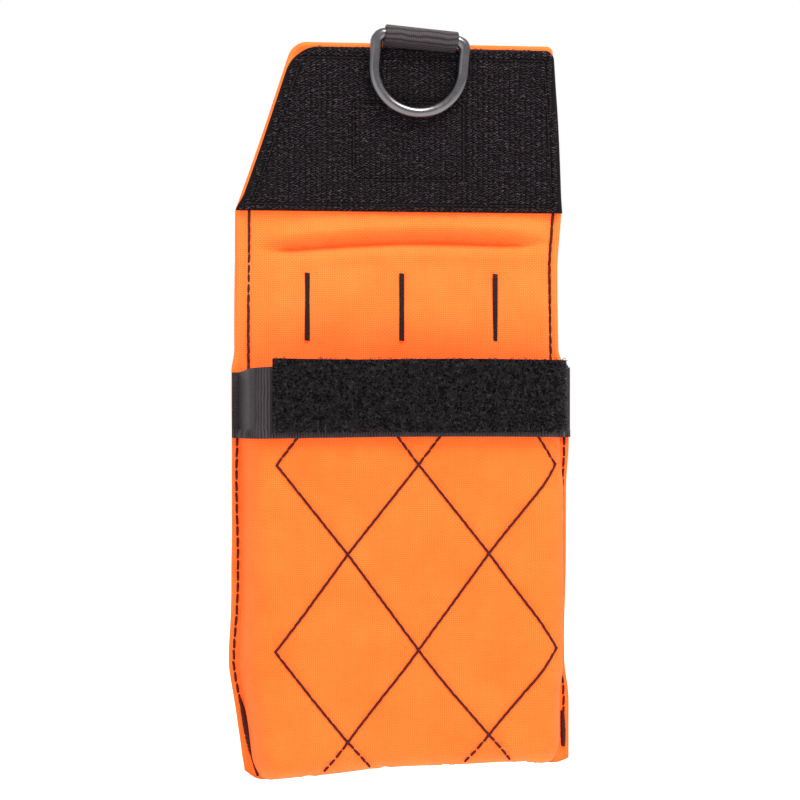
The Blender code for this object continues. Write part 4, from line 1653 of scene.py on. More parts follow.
@dataclass
class Panels:
    """The padded back and the flap that it runs on into, cut midway between the two creases."""

    layout: Layout
    neck_insets: dict = field(default_factory=lambda: {Side.LEFT: 1.3 * MM, Side.RIGHT: 3.0 * MM})
    flares: dict = field(default_factory=lambda: {Side.LEFT: 0.3 * MM, Side.RIGHT: 1.0 * MM})
    neck_rise: float = 7.0 * MM
    shoulder: float = 16.2 * MM
    left_lean: float = 19.6 * MM
    right_lean: float = 3.4 * MM
    bottom_corner: float = 6.0 * MM
    left_corner: float = 4.5 * MM
    right_corner: float = 2.0 * MM
    rim: float = 1.4 * MM
    seam_inset: float = 3.1 * MM
    left_seam_inset: float = 4.6 * MM
    flap_thickness: float = 2.3 * MM
    cut: float = 13.5 * MM
    wrinkle: float = 5.6 * MM

    def edge(self, side: Side, height: Places) -> Places:
        """How far out the panel's side edge lies at some heights, as a positive distance."""
        lay = self.layout
        height = np.asarray(height, float)
        neck = self.neck_insets[side]
        out = lay.half - neck * smoothstep(lay.mouth - 2 * MM, lay.mouth + self.neck_rise, height)
        above = height - lay.crease
        out += self.flares[side] * np.clip(above / self.shoulder, 0.0, 1.0)
        lean = self.left_lean if side is Side.LEFT else self.right_lean
        leaning = (above - self.shoulder) / (lay.free_edge - lay.crease - self.shoulder)
        out -= lean * np.clip(leaning, 0.0, None)
        out += 0.35 * MM * np.sin(
            height / (17 * MM) + side.value
        ) * smoothstep(0.0, 20 * MM, height)
        low = np.clip(self.bottom_corner - height, 0.0, self.bottom_corner)
        out -= self.bottom_corner - np.sqrt(self.bottom_corner**2 - low**2)
        corner = self.left_corner if side is Side.LEFT else self.right_corner
        high = np.clip(height - (lay.free_edge - corner), 0.0, corner)
        out -= corner - np.sqrt(corner**2 - high**2)
        return np.minimum(out, lay.half)

    def relief(self, across: Places, height: Places) -> Places:
        """How the inner face rolls and wrinkles, forwards of flat."""
        lay = self.layout
        above = height - lay.crease
        in_middle = smoothstep(-51 * MM, -34 * MM, across) * smoothstep(54 * MM, 34 * MM, across)
        bow = self.wrinkle + 1.2 * MM * np.cos(across / (21 * MM)) + 0.03 * across
        fold = 2.9 * MM * hump(
            above, bow + 4.6 * MM, 3.4 * MM
        ) - 3.0 * MM * hump(above, bow - 0.4 * MM, 1.5 * MM)
        fold += 0.9 * MM * hump(above, bow - 4.6 * MM, 2.8 * MM)
        rolls = 0.4 * MM * waves(across, height, 8, 30 * MM)
        below_flap = 1.0 - smoothstep(self.shoulder - 4 * MM, self.shoulder + 2 * MM, above)
        return (fold * in_middle + rolls) * below_flap

    def grid(self, low: float, high: float) -> tuple[Places, Places, Places]:
        """Both faces of the panel between two heights.

        Args:
            low: The lower end, which is a rounded hem if it is the panel's own bottom.
            high: The upper end, which is a rounded hem if it is the free edge.

        Returns:
            The inner face, the outer face and the places on the flat cloth.
        """
        lay = self.layout
        rows = [np.linspace(low, high, int((high - low) / (1.3 * MM)))]
        fine = np.arange(lay.crease, lay.crease + self.shoulder, 0.55 * MM)
        rows.append(fine[(fine > low) & (fine < high)])
        if low <= 0.0:
            rows.append(self.bottom_corner * (1.0 - np.cos(np.linspace(0.0, 1.4, 9))))
        if high >= lay.free_edge - 1e-6:
            rows.append(lay.free_edge - self.left_corner * (1.0 - np.cos(np.linspace(0.0, 1.4, 9))))
        heights = np.unique(np.round(np.concatenate(rows), 6))
        shares = np.sin(np.linspace(-math.pi / 2, math.pi / 2, 87))
        shares = 0.7 * shares + 0.3 * np.linspace(-1.0, 1.0, 87)
        left, right = -self.edge(Side.LEFT, heights), self.edge(Side.RIGHT, heights)
        across = (left + right)[:, None] / 2 + (right - left)[:, None] / 2 * shares[None, :]
        height = np.repeat(heights[:, None], across.shape[1], axis=1)
        away = np.minimum(across - left[:, None], right[:, None] - across)
        if low <= 0.0:
            away = np.minimum(away, height)
        if high >= lay.free_edge - 1e-6:
            away = np.minimum(away, lay.free_edge - height)
        away = np.clip(away, 0.0, None)
        full = np.sqrt(np.clip(1.0 - (1.0 - np.clip(away / self.rim, 0.0, 1.0)) ** 2, 0.0, 1.0))
        flapness = smoothstep(lay.crease - 8 * MM, lay.crease + 16 * MM, height)
        thick = lay.back * (1.0 - flapness) + self.flap_thickness * flapness
        seam = 0.42 * MM * hump(away, self.seam_inset, 0.8 * MM)
        puff = 0.35 * MM * smoothstep(self.seam_inset, self.seam_inset + 9 * MM, away)
        middle = -thick / 2
        front = middle + thick / 2 * full + (
            self.relief(across, height) + puff * (1.0 - flapness) - seam
        ) * full
        rear_rolls = 0.35 * MM * waves(across, height, 17, 36 * MM)
        rear = middle - thick / 2 * full + (
            seam - rear_rolls * smoothstep(2 * MM, 12 * MM, away)
        ) * full
        inner_face = lay.settle(np.stack([across, front, height], axis=-1))
        outer_face = lay.settle(np.stack([across, rear, height], axis=-1))
        return inner_face, outer_face, np.stack([across, height], axis=-1)

    def make_part(self, name: str, low: float, high: float) -> bpy.types.Object:
        """Build one closed part of the panel."""
        front, rear, cloth = self.grid(low, high)
        mesh = sheet_mesh(name, self.layout.world(front), self.layout.world(rear), cloth)
        mesh.set_sharp_from_angle(angle=math.radians(50))
        return new_piece(name, mesh, LINING_PAINTED_LIGHTER.material())

    def cut_height(self) -> float:
        """Where the back's cloth ends and the flap's begins."""
        return self.layout.crease + self.cut

    def edge_stitches(
        self, name: str, side: Side, low: float, high: float, way: Way
    ) -> bpy.types.Object:
        """Sew the row of stitches along a side of the panel."""
        lay = self.layout
        heights = np.linspace(low, high, max(8, int((high - low) / (2 * MM))))
        inset = self.left_seam_inset if side is Side.LEFT and way is Way.FRONT else self.seam_inset
        if low > lay.mouth - 10 * MM:
            straight = self.edge(side, np.maximum(heights, lay.mouth + self.neck_rise))
        else:
            straight = self.edge(side, heights)
        across = side.value * (straight - inset)
        depth = 0.1 * MM + 0.0 * heights
        if way is Way.BACK:
            flapness = smoothstep(lay.crease - 8 * MM, lay.crease + 16 * MM, heights)
            depth = -(lay.back * (1.0 - flapness) + self.flap_thickness * flapness) - 0.1 * MM
        run = lay.world(lay.settle(np.column_stack([across, depth, heights])))
        return StitchLine(
            name, [run], way=way, pitch=3.2 * MM, length=3.0 * MM, thread=0.9 * MM
        ).make()


@dataclass
class HookSheet:
    """The hook tape that lines the flap: upright ribs, with a small barb on every yarn."""

    layout: Layout
    panels: Panels
    low: float = field(init=False)
    high: float = field(init=False)
    face: float = 1.8 * MM
    back: float = 0.3 * MM
    side_insets: dict = field(default_factory=lambda: {Side.LEFT: 0.9 * MM, Side.RIGHT: 0.1 * MM})
    left_corner: float = 8.0 * MM
    right_corner: float = 3.0 * MM
    seam_inset: float = 3.7 * MM
    low_seam: float = 2.2 * MM
    top_gain: float = 0.9 * MM
    rib: float = 1.8 * MM
    rib_height: float = 0.42 * MM
    barb_across: float = 0.72 * MM
    barb_up: float = 0.86 * MM
    block_across: tuple = (-16.2 * MM, 20.6 * MM)
    block_up: tuple = (198.6 * MM, 224.4 * MM)

    def __post_init__(self) -> None:
        """Read the sheet's ends from the model."""
        self.low = self.layout.box("hook_strip")[0].z
        self.high = self.layout.box("hook_sheet")[1].z + self.top_gain

    def edges(self, heights: Places) -> tuple[Places, Places]:
        """The sheet's left and right edges at some heights."""
        sides = []
        for side, corner in ((Side.LEFT, self.left_corner), (Side.RIGHT, self.right_corner)):
            out = self.panels.edge(side, np.minimum(heights, self.layout.free_edge - 6 * MM))
            lean = self.panels.left_lean if side is Side.LEFT else self.panels.right_lean
            run = self.layout.free_edge - self.layout.crease - self.panels.shoulder
            out -= lean / run * np.clip(heights - (self.layout.free_edge - 6 * MM), 0.0, None)
            inset = self.side_insets[side] * smoothstep(self.low, self.low + 6 * MM, heights)
            high = np.clip(heights - (self.high - corner), 0.0, corner)
            sides.append(out - inset - (corner - np.sqrt(corner**2 - high**2)))
        return -sides[0], sides[1]

    def seam_distance(self, across: Places, height: Places) -> Places:
        """How far places are from the sewn rows: the rim's, and the patch's block."""
        left, right = self.edges(height)
        above = height - self.low + self.seam_inset - self.low_seam
        rim = np.minimum.reduce([across - left, right - across, self.high - height, above])
        best = np.abs(rim - self.seam_inset)
        (x0, x1), (z0, z1) = self.block_across, self.block_up
        box = np.maximum(np.maximum(x0 - across, across - x1), np.maximum(z0 - height, height - z1))
        return np.minimum(best, np.abs(box))

    def make(self) -> bpy.types.Object:
        """Weave the ribbed ground."""
        heights = np.unique(
            np.concatenate(
                [
                    np.linspace(self.low, self.high, 58),
                    self.high - self.left_corner * (1.0 - np.cos(np.linspace(0.0, 1.45, 12))),
                    [self.low + 0.4 * MM, self.high - 0.3 * MM],
                ]
            )
        )
        left, right = self.edges(heights)
        share = np.linspace(0.0, 1.0, 331)
        across = left[:, None] + (right - left)[:, None] * share[None, :]
        height = np.repeat(heights[:, None], across.shape[1], axis=1)
        rim = np.minimum.reduce(
            [across - left[:, None], right[:, None] - across, self.high - height, height - self.low]
        )
        full = smoothstep(-0.3 * MM, 0.9 * MM, rim)
        ribs = self.rib_height * np.abs(np.sin(across / self.rib * math.pi))
        seam = 0.75 * MM * hump(self.seam_distance(across, height), 0.0, 0.75 * MM)
        rolls = 0.25 * MM * waves(across, height, 41, 26 * MM)
        lump = 0.3 * MM * self.block_lump(across, height)
        depth = self.back + (
            self.face - self.back
        ) * full - 0.30 * MM + ribs - seam + (rolls + lump) * full
        front = np.stack([across, depth, height], axis=-1)
        rear = np.stack([across, np.full_like(across, self.back), height], axis=-1)
        mesh = sheet_mesh(
            "hook_tape_ground",
            self.layout.world(front),
            self.layout.world(rear),
            np.stack([across, height], axis=-1),
        )
        mesh.set_sharp_from_angle(angle=math.radians(60))
        return new_piece("hook_tape_ground", mesh, HOOK_GROUND.material())

    def block_lump(self, across: Places, height: Places) -> Places:
        """The patch's block, which stands out a little through the cloth."""
        (x0, x1), (z0, z1) = self.block_across, self.block_up
        inside = np.minimum.reduce([across - x0, x1 - across, height - z0, z1 - height])
        return smoothstep(-1 * MM, 3 * MM, inside)

    def make_barbs(self) -> bpy.types.Object:
        """Stand the barbs in rows up the ribs."""
        draw = np.random.default_rng(9)
        rows = np.arange(self.low + 0.7 * MM, self.high - 0.4 * MM, self.barb_up)
        places = []
        for z in rows:
            left, right = self.edges(np.array([z]))
            first = math.ceil((left[0] + 0.5 * MM) / self.rib)
            last = math.floor((right[0] - 0.5 * MM) / self.rib)
            for k in range(first, last):
                for way in (-1, 1):
                    x = (k + 0.5) * self.rib + way * self.barb_across / 2
                    places.append((x, z + way * self.barb_up / 4))
        spots = np.array(places)
        spots += draw.normal(0.0, 0.09 * MM, spots.shape)
        away = self.seam_distance(spots[:, 0], spots[:, 1])
        kept = (away > 0.55 * MM) & (draw.random(len(spots)) < 0.9)
        spots = spots[kept]
        ribs = self.rib_height * np.abs(np.sin(spots[:, 0] / self.rib * math.pi))
        rolls = 0.25 * MM * waves(spots[:, 0], spots[:, 1], 41, 26 * MM)
        lump = 0.3 * MM * self.block_lump(spots[:, 0], spots[:, 1])
        depth = self.face - 0.35 * MM + ribs + rolls + lump
        return Tufts(
            "hook_tape_barbs",
            self.layout.world(np.column_stack([spots[:, 0], depth, spots[:, 1]])),
            HOOK_BARBS,
            reach=0.7 * MM,
            rise=1.15 * MM,
            back=0.25 * MM,
            filament=0.24 * MM,
            tilt=0.3,
            turn=0.55,
        ).make()

    def rim_stitches(self) -> bpy.types.Object:
        """Sew the sheet down round its rim."""
        inset = self.seam_inset
        heights = np.linspace(self.low + self.low_seam, self.high - inset, 40)
        left, right = self.edges(heights)
        up = np.column_stack([left + inset, heights])
        down = np.column_stack([right - inset, heights])[::-1]
        loop = np.vstack([up, down, up[:1]])
        depth = np.full(len(loop), self.face - 0.32 * MM)
        run = self.layout.world(np.column_stack([loop[:, 0], depth, loop[:, 1]]))
        return StitchLine(
            "hook_tape_stitches",
            [run],
            finish=BLACK_THREAD,
            pitch=1.75 * MM,
            length=1.3 * MM,
            thread=0.45 * MM,
        ).make()

    def block_stitches(self) -> bpy.types.Object:
        """Sew the block that holds the patch on the other side."""
        (x0, x1), (z0, z1) = self.block_across, self.block_up
        loop = np.array([(x0, z0), (x1, z0), (x1, z1), (x0, z1), (x0, z0)])
        depth = np.full(len(loop), self.face - 0.05 * MM)
        run = self.layout.world(np.column_stack([loop[:, 0], depth, loop[:, 1]]))
        return StitchLine(
            "patch_block_stitches",
            [run],
            finish=BLACK_THREAD,
            pitch=1.9 * MM,
            length=1.4 * MM,
            thread=0.45 * MM,
        ).make()


# ---------------------------------------------------------------------------------------------
# Straps, patch and ring


def swept_strap(
    name: str, path: Places, half: float, thickness: float, finish: Finish
) -> bpy.types.Object:
    """Lay a flat strap along a path of (depth, height), with rolled selvedges.

    Args:
        name: The piece's name.
        path: Rows of (across from the strap's middle as nought, y, z) of the strap's middle.
        half: Half its width.
        thickness: Its thickness.
        finish: Its webbing.

    Returns:
        The piece, which follows the path from its first place to its last.
    """
    tangent = np.gradient(path, axis=0)
    tangent /= np.linalg.norm(tangent, axis=1, keepdims=True)
    outward = np.column_stack([tangent[:, 1], -tangent[:, 0]])
    shares = np.sin(np.linspace(-math.pi / 2, math.pi / 2, 61))
    length = arc_length(path)
    rim = np.minimum((1.0 - np.abs(shares)) * half, 5 * MM)[None, :]
    rim = np.minimum(rim, np.minimum(length, length[-1] - length)[:, None])
    full = np.sqrt(np.clip(1.0 - (1.0 - np.clip(rim / (0.6 * thickness), 0.0, 1.0)) ** 2, 0.0, 1.0))
    faces = []
    for side in (1.0, -1.0):
        offset = side * thickness / 2 * full
        y = path[:, 0, None] + outward[:, 0, None] * offset
        z = path[:, 1, None] + outward[:, 1, None] * offset
        x = np.repeat((shares * half)[None, :], len(path), axis=0)
        faces.append(np.stack([x, y, z], axis=-1))
    cloth = np.stack(np.broadcast_arrays((shares * half)[None, :], length[:, None]), axis=-1)
    mesh = sheet_mesh(name, faces[0], faces[1], cloth)
    return new_piece(name, mesh, finish.material())


def close_up(piece: bpy.types.Object) -> bpy.types.Object:
    """Point all of a closed piece's faces outwards."""
    shape = bmesh.new()
    shape.from_mesh(piece.data)
    bmesh.ops.remove_doubles(shape, verts=shape.verts, dist=0.004 * MM)
    bmesh.ops.recalc_face_normals(shape, faces=shape.faces)
    shape.to_mesh(piece.data)
    shape.free()
    return piece


@dataclass
class BeltLoop:
    """The wide webbing strap on the back that a belt passes behind."""

    layout: Layout
    ramp: float = 6.0 * MM
    end: float = 25.0 * MM
    webbing: float = 1.6 * MM
    bar_places: tuple = (-31.5 * MM, 0.0, 31.5 * MM)

    def path(self) -> Places:
        """The strap's middle line as rows of (y, z), from its lower end to its upper."""
        near, far = self.layout.box("belt_loop")
        base = self.layout.base
        half = self.webbing / 2
        out = base.y - far.y - half
        flat = base.y + self.layout.back + 0.3 * MM + half
        low, high = near.z + base.z, far.z + base.z
        corners = [
            (flat, low, 0.0),
            (flat, low + self.end, 4 * MM),
            (out, low + self.end + self.ramp, 5 * MM),
            (out, high - self.end - self.ramp, 5 * MM),
            (flat, high - self.end, 4 * MM),
            (flat, high, 0.0),
        ]
        return rounded_path(corners, (16, 6, 6, 6, 24, 6, 6, 6, 16))

    def make(self) -> bpy.types.Object:
        """Lay the strap."""
        low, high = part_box("belt_loop")
        strap = swept_strap(
            "belt_loop_webbing", self.path(), (high[0] - low[0]) / 2, self.webbing, STRAP
        )
        return close_up(strap)

    def bars(self, row: str, way: Way) -> bpy.types.Object:
        """Sew one end's three stitch bars, on one face.

        Args:
            row: Upper or lower.
            way: The face that is seen: the lining's or the strap's.

        Returns:
            The piece.
        """
        low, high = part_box(f"belt_tack_{row}_middle")
        depth = self.layout.base.y - 0.75 * MM
        if way is Way.BACK:
            depth = self.layout.base.y + self.layout.back + 0.3 * MM + self.webbing + 0.05 * MM
        place = "lining" if way is Way.FRONT else "strap"
        runs = []
        for x in self.bar_places:
            run = [(x, depth, z) for z in np.linspace(low[2], high[2], 12)]
            runs.append(np.array(run))
        return StitchLine(
            f"belt_loop_bars_{row}_{place}",
            runs,
            way=way,
            finish=BLACK_THREAD,
            pitch=0.42 * MM,
            length=1.5 * MM,
            thread=0.42 * MM,
            rise=0.25 * MM,
            slant=math.radians(82),
            uneven=0.04,
        ).make()


@dataclass
class Patch:
    """The blank moulded patch on the flap's outer face."""

    edge: float = 0.5 * MM
    border: float = 2.2 * MM
    groove: float = 0.5 * MM
    corner: float = 3.0 * MM

    def outline(self, inset: float, y: float) -> list:
        """A rounded rectangle inside the patch's box at one depth."""
        low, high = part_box("flap_patch")
        corner = max(self.corner - inset, 0.6 * MM)
        places = []
        for k, (sx, sz) in enumerate(((1, 1), (-1, 1), (-1, -1), (1, -1))):
            cx = (high[0] - inset - corner) if sx > 0 else (low[0] + inset + corner)
            cz = (high[2] - inset - corner) if sz > 0 else (low[2] + inset + corner)
            for step in range(9):
                angle = math.pi / 2 * (k + step / 8)
                places.append((cx + corner * math.cos(angle), y, cz + corner * math.sin(angle)))
        return places

    def make(self) -> bpy.types.Object:
        """Mould the patch: a rounded edge, and a sunk line inside its border."""
        low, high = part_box("flap_patch")
        out, back = high[1], low[1]
        line = self.border
        rings = [
            (0.0, back),
            (0.0, out - self.edge),
            (0.15 * self.edge, out - 0.5 * self.edge),
            (0.5 * self.edge, out - 0.15 * self.edge),
            (self.edge, out),
            (line, out),
            (line + 0.2 * MM, out - self.groove),
            (line + 0.9 * MM, out - self.groove),
            (line + 1.1 * MM, out),
        ]
        shape = bmesh.new()
        loops = [[shape.verts.new(p) for p in self.outline(inset, y)] for inset, y in rings]
        for inner, outer in zip(loops, loops[1:]):
            for i in range(len(inner)):
                j = (i + 1) % len(inner)
                shape.faces.new((inner[i], inner[j], outer[j], outer[i]))
        shape.faces.new(loops[-1])
        shape.faces.new(reversed(loops[0]))
        bmesh.ops.recalc_face_normals(shape, faces=shape.faces)
        mesh = bpy.data.meshes.new("flap_patch_rubber")
        shape.to_mesh(mesh)
        shape.free()
        mesh.shade_smooth()
        mesh.set_sharp_from_angle(angle=math.radians(40))
        return new_piece("flap_patch_rubber", mesh, PATCH_RUBBER.material())

    def stitches(self) -> bpy.types.Object:
        """Sew the patch down in its sunk line."""
        _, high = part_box("flap_patch")
        loop = self.outline(self.border + 0.55 * MM, high[1] - self.groove + 0.1 * MM)
        run = np.array([*loop, loop[0]])
        return StitchLine(
            "flap_patch_stitches", [
                run
            ], way=Way.BACK, pitch=2.4 * MM, length=2.0 * MM, thread=0.5 * MM
        ).make()


@dataclass
class RingTab:
    """The D-ring, and the webbing tab that holds its straight bar."""

    joint: dict
    wire: float = 4.0 * MM
    clearance: float = 0.2 * MM
    webbing: float = 0.95 * MM
    width: float = 24.4 * MM
    half: float = 14.8 * MM
    shoulder: float = 2.8 * MM
    height: float = 29.0 * MM
    tail: float = 13.0 * MM
    above_edge: float = 1.2 * MM
    hook_edge: float = 2.6 * MM
    rib: float = 1.55 * MM
    hook_face: float = 1.8 * MM
    standoff: float = 3.2 * MM

    def turned(self, places: Places) -> Places:
        """Bring places about the bar's centre into the object's frame, with the ring's lean."""
        axis = -Vector(self.joint["axis"])
        up = Vector((-axis.z, 0.0, axis.x))
        places = np.asarray(places, float)
        x, y, z = places[..., 0:1], places[..., 1:2], places[..., 2:3]
        return np.array(
            self.joint["pos_m"]
        ) + x * np.array(axis) + y * np.array((0.0, 1.0, 0.0)) + z * np.array(up)

    def make_tab(self) -> bpy.types.Object:
        """Wrap the tab over the bar, with its tail running down between the cloths."""
        middle = self.wire / 2 + self.clearance + self.webbing / 2
        tail_y = self.standoff + self.hook_face + 0.1 * MM
        neck = -(self.above_edge + self.hook_edge) + 0.8 * MM
        low = -(self.above_edge + self.tail)
        angles = np.radians(np.linspace(228, 12, 66))
        wrap = np.column_stack([middle * np.cos(angles), middle * np.sin(angles)])
        front_leg = np.array(
            [(tail_y, low), (tail_y, neck - 2.2 * MM), (tail_y - 0.5 * MM, neck - 0.3 * MM)]
        )
        rear_y = tail_y + self.webbing * 0.75
        rear_leg = np.array([(rear_y, neck + 1.6 * MM), (rear_y, neck - 0.4 * MM), (rear_y, low)])
        path = np.vstack([front_leg, wrap, rear_leg])
        length = arc_length(path)
        even = np.linspace(0, length[-1], int(length[-1] / (0.28 * MM)))
        path = np.column_stack([np.interp(even, length, path[:, k]) for k in (0, 1)])
        for _ in range(6):
            path[1:-1] = (path[:-2] + 2 * path[1:-1] + path[2:]) / 4
        tab = swept_strap("ring_tab_webbing", path, self.width / 2, self.webbing, TAB_STRAP)
        places = points_of(tab.data)
        spots = self.turned(places)
        put_points(tab.data, spots)
        return close_up(tab)

    def make_ring(self) -> bpy.types.Object:
        """Bend the ring's wire."""
        drop = self.height - self.wire
        half, bend = self.half, self.shoulder
        corners = [(0.0, 0.0, 0.0), (half, 0.0, bend), (half, half - drop, 0.0)]
        side = rounded_path(corners, (8, 14, 20))
        bow = [
            (half * math.cos(a), half - drop - half * math.sin(a))
            for a in np.linspace(0.0, math.pi, 61)[1:-1]
        ]
        other = side[::-1] * np.array((-1.0, 1.0))
        loop = np.vstack([side, bow, other[:-1]])
        curve = bpy.data.curves.new("d_ring_wire", "CURVE")
        curve.dimensions = "3D"
        curve.bevel_depth = self.wire / 2
        curve.bevel_resolution = 6
        spline = curve.splines.new("POLY")
        spline.points.add(len(loop) - 1)
        places = self.turned(np.column_stack([loop[:, 0], np.zeros(len(loop)), loop[:, 1]]))
        for point, place in zip(spline.points, places):
            point.co = (*place, 1.0)
        spline.use_cyclic_u = True
        wire = bpy.data.objects.new("d_ring_wire", curve)
        bpy.context.scene.collection.objects.link(wire)
        curve.materials.append(RING_STEEL.material())
        graph = bpy.context.evaluated_depsgraph_get()
        mesh = bpy.data.meshes.new_from_object(wire.evaluated_get(graph), depsgraph=graph)
        bpy.data.objects.remove(wire)
        mesh.shade_smooth()
        return new_piece("d_ring_wire", mesh, RING_STEEL.material())


# ---------------------------------------------------------------------------------------------
# The studio


@dataclass
class Studio:
    """A pale sweep, soft light from the upper left, and the camera."""

    middle: Vector
    distance: float = 744 * MM
    azimuth: float = math.radians(-7.0)
    lens: float = 100.0
    below: float = 66 * MM

    def camera(self) -> bpy.types.Object:
        """Set the camera level with the pouch's middle."""
        data = bpy.data.cameras.new("camera")
        data.lens = self.lens
        data.sensor_width = 36.0
        camera = bpy.data.objects.new("camera", data)
        bpy.context.scene.collection.objects.link(camera)
        away = Vector((math.sin(self.azimuth), -math.cos(self.azimuth), 0.0)) * self.distance
        camera.location = self.middle + away
        camera.rotation_euler = (math.pi / 2, 0.0, self.azimuth)
        bpy.context.scene.camera = camera
        return camera

    def lamp(
        self, name: str, place: tuple, size: tuple, watts: float, colour: str
    ) -> bpy.types.Object:
        """Hang one soft box that faces the pouch."""
        data = bpy.data.lights.new(name, "AREA")
        data.shape = "RECTANGLE"
        data.size, data.size_y = size
        data.energy = watts
        data.color = linear_rgb(colour)[:3]
        lamp = bpy.data.objects.new(name, data)
        bpy.context.scene.collection.objects.link(lamp)
        lamp.location = self.middle + Vector(place)
        lamp.rotation_euler = Vector(place).to_track_quat("Z", "Y").to_euler()
        return lamp

    def floor(self, low: float) -> bpy.types.Object:
        """Lay the floor well below the hanging pouch."""
        half = 3.0
        mesh = bpy.data.meshes.new("studio_floor")
        z = low - self.below
        corners = [(-half, -half, z), (half, -half, z), (half, half, z), (-half, half, z)]
        mesh.from_pydata(corners, [], [(0, 1, 2, 3)])
        piece = new_piece("studio_floor", mesh, SWEEP.material())
        return piece

    def world(self, ahead: float, behind: float) -> None:
        """Fill the shadows: a white studio ahead, and its darker open side behind the camera."""
        world = bpy.data.worlds.new("studio_world")
        world.use_nodes = True
        tree = world.node_tree
        back = tree.nodes["Background"]
        back.inputs["Color"].default_value = linear_rgb("FFFFFF")
        heading = add_node(tree, "ShaderNodeTexCoord")
        parts = add_node(tree, "ShaderNodeSeparateXYZ", {0: heading.outputs["Generated"]})
        strength = add_node(
            tree,
            "ShaderNodeMapRange",
            {
                "Value": parts.outputs["Y"],
                "From Min": -0.6,
                "From Max": 0.5,
                "To Min": behind,
                "To Max": ahead,
            },
            interpolation_type="SMOOTHSTEP",
        )
        tree.links.new(strength.outputs[0], back.inputs["Strength"])
        bpy.context.scene.world = world

    def build(self, low: float) -> None:
        """Set up everything."""
        self.camera()
        self.floor(low)
        self.world(1.0, 0.66)
        self.lamp("key_softbox", (0.2, -0.5, 0.75), (0.4, 0.4), 9.0, "FFFBF6")
        self.lamp("fill_softbox", (-0.95, -0.8, 0.0), (0.7, 0.9), 2.0, "F6F8FF")
        self.lamp("back_softbox", (0.1, 1.1, 0.7), (0.9, 0.6), 6.0, "FFFFFF")
        bpy.context.scene.view_settings.view_transform = "Standard"


# ---------------------------------------------------------------------------------------------
# Putting it together


@dataclass
class Dresser:
    """Puts each finished piece on its body or keeps it where it is, and hides its plain solids."""

    def wear(
        self,
        piece: bpy.types.Object,
        body: str,
        nodes: Sequence[str] = (),
    ) -> bpy.types.Object:
        """Let a piece ride on one body.

        Args:
            piece: The finished piece.
            body: The body that it moves with.
            nodes: The plain solids that it stands for.

        Returns:
            The piece.
        """
        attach(piece, body)
        return self.note(piece, nodes)

    def bend(
        self,
        piece: bpy.types.Object,
        bodies: tuple,
        ends: tuple,
        slot: str,
        nodes: Sequence[str] = (),
        fill: float | None = None,
    ) -> bpy.types.Object:
        """Keep a piece where it is, with its place baked into its mesh, and hide its plain solids.

        Args:
            piece: The finished piece.
            bodies: The two bodies, lower first; not used.
            ends: Two heights in the object's frame; not used.
            slot: The record's material slot; not used.
            nodes: The plain solids that it stands for.
            fill: How full it is, if it is padded; not used.

        Returns:
            The piece.
        """
        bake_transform(piece)
        return self.note(piece, nodes)

    def note(
        self, piece: bpy.types.Object, nodes: Sequence[str]
    ) -> bpy.types.Object:
        """Hide the solids that a piece stands for, and log its number of faces."""
        if nodes:
            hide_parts(*nodes)
        LOG.info("%s: %d faces", piece.name, len(piece.data.polygons))
        return piece


def dress_pocket(dresser: Dresser, layout: Layout) -> None:
    """Make the pocket, its mouth and everything sewn to them."""
    pocket = Pocket(layout)
    pad = pocket.make()
    dresser.wear(
        pad, "pouch", ("front_shell", "front_lining", "front_padding")
    )
    mouth = Mouth(layout, pocket)
    dresser.wear(mouth.make_band(), "pouch", ("mouth_band",))
    dresser.wear(mouth.make_tape(), "pouch", ("loop_tape",))
    dresser.wear(mouth.make_pile(), "pouch")
    sewing = PocketStitching(layout, pocket)
    for index, piece in enumerate(sewing.quilting(), 1):
        dresser.wear(piece, "pouch", (f"quilting_thread_{index}",))
    for side in Side:
        name = side.name.lower()
        dresser.wear(sewing.side_seam(side), "pouch", (f"pocket_seam_{name}",))
        dresser.wear(sewing.bar(side), "pouch", (f"bar_tack_{name}",))


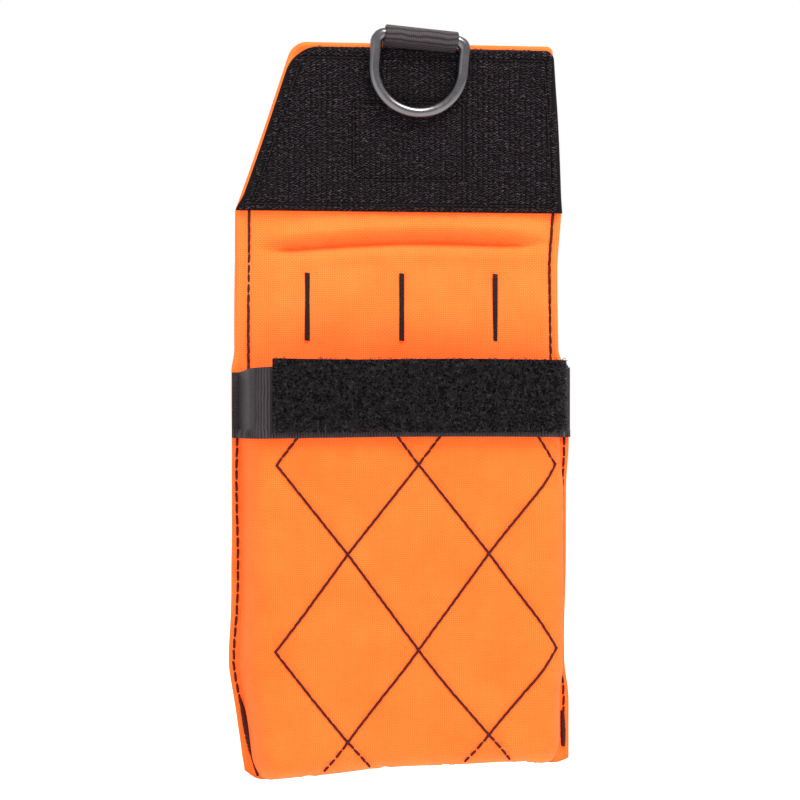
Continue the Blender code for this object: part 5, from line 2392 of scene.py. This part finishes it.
def dress_panels(dresser: Dresser, layout: Layout) -> None:
    """Make the back, the flap, the hook sheet and their stitches."""
    panels = Panels(layout)
    base = layout.base.z
    cut = panels.cut_height()
    back_fold = (base + layout.crease - 10 * MM, base + layout.crease + 10 * MM)
    front_fold = (base + layout.front_crease - 9 * MM, base + layout.front_crease + 9 * MM)
    back = panels.make_part("back_panel_pad", 0.0, cut)
    nodes = ("back_lining", "back_padding", "back_shell")
    dresser.bend(back, ("pouch", "flap_bridge"), back_fold, "orange_nylon", nodes, fill=0.5)
    flap = panels.make_part("flap_panel_pad", cut, layout.free_edge)
    nodes = ("bridge_shell", "bridge_lining", "flap_shell", "flap_lining")
    dresser.bend(flap, ("flap_bridge", "flap"), front_fold, "orange_nylon", nodes, fill=0.4)

    hook = HookSheet(layout, panels)
    ground = hook.make()
    dresser.bend(
        ground, ("flap_bridge", "flap"), front_fold, "black_hook", ("hook_strip", "hook_sheet")
    )
    dresser.bend(hook.make_barbs(), ("flap_bridge", "flap"), front_fold, "black_hook")
    dresser.bend(
        hook.rim_stitches(), ("flap_bridge", "flap"), front_fold, "dark_thread", ("hook_seam",)
    )
    dresser.bend(hook.block_stitches(), ("flap_bridge", "flap"), front_fold, "dark_thread")

    for side in Side:
        name = side.name.lower()
        front_end = hook.low - 1.0 * MM
        low = panels.edge_stitches(
            f"neck_stitches_{name}", side, layout.mouth - 6 * MM, cut, Way.FRONT
        )
        dresser.bend(
            low, ("pouch", "flap_bridge"), back_fold, "dark_thread", (f"neck_seam_{name}",)
        )
        high = panels.edge_stitches(
            f"bridge_stitches_{name}", side, cut + 0.4 * MM, front_end, Way.FRONT
        )
        dresser.bend(
            high, ("flap_bridge", "flap"), front_fold, "dark_thread", (f"bridge_seam_{name}",)
        )
        rear = panels.edge_stitches(f"back_stitches_{name}", side, 7 * MM, cut, Way.BACK)
        dresser.bend(rear, ("pouch", "flap_bridge"), back_fold, "dark_thread")
        top = layout.free_edge - 6 * MM
        outer = panels.edge_stitches(f"flap_stitches_{name}", side, cut + 0.4 * MM, top, Way.BACK)
        dresser.bend(outer, ("flap_bridge", "flap"), front_fold, "dark_thread")


def dress_fittings(dresser: Dresser, layout: Layout, joints: Sequence[dict]) -> None:
    """Make the belt loop, the patch, the tab and the ring."""
    belt = BeltLoop(layout)
    dresser.wear(belt.make(), "pouch", ("belt_loop",))
    for row in ("upper", "lower"):
        tacks = [f"belt_tack_{row}_{column}" for column in ("left", "middle", "right")]
        dresser.wear(belt.bars(row, Way.BACK), "pouch", tacks)
    dresser.wear(belt.bars("upper", Way.FRONT), "pouch")
    patch = Patch()
    dresser.wear(patch.make(), "flap", ("flap_patch",))
    dresser.wear(patch.stitches(), "flap")
    swing = next(joint for joint in joints if joint["name"] == "ring_swing")
    ring = RingTab(swing)
    dresser.wear(ring.make_tab(), "flap", ("ring_tab",))
    dresser.wear(ring.make_ring(), "ring", ("d_ring",))


def main() -> None:
    """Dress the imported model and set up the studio."""
    logging.basicConfig(level=logging.INFO, format="%(message)s")
    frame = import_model()
    layout = Layout()
    aim = Vector((0.0, -3.0 * MM, layout.base.z + 125.6 * MM))
    studio = Studio(aim)
    studio.build(layout.base.z)
    dresser = Dresser()
    dress_pocket(dresser, layout)
    dress_panels(dresser, layout)
    dress_fittings(dresser, layout, frame["joints"])


if __name__ == "__main__":
    main()
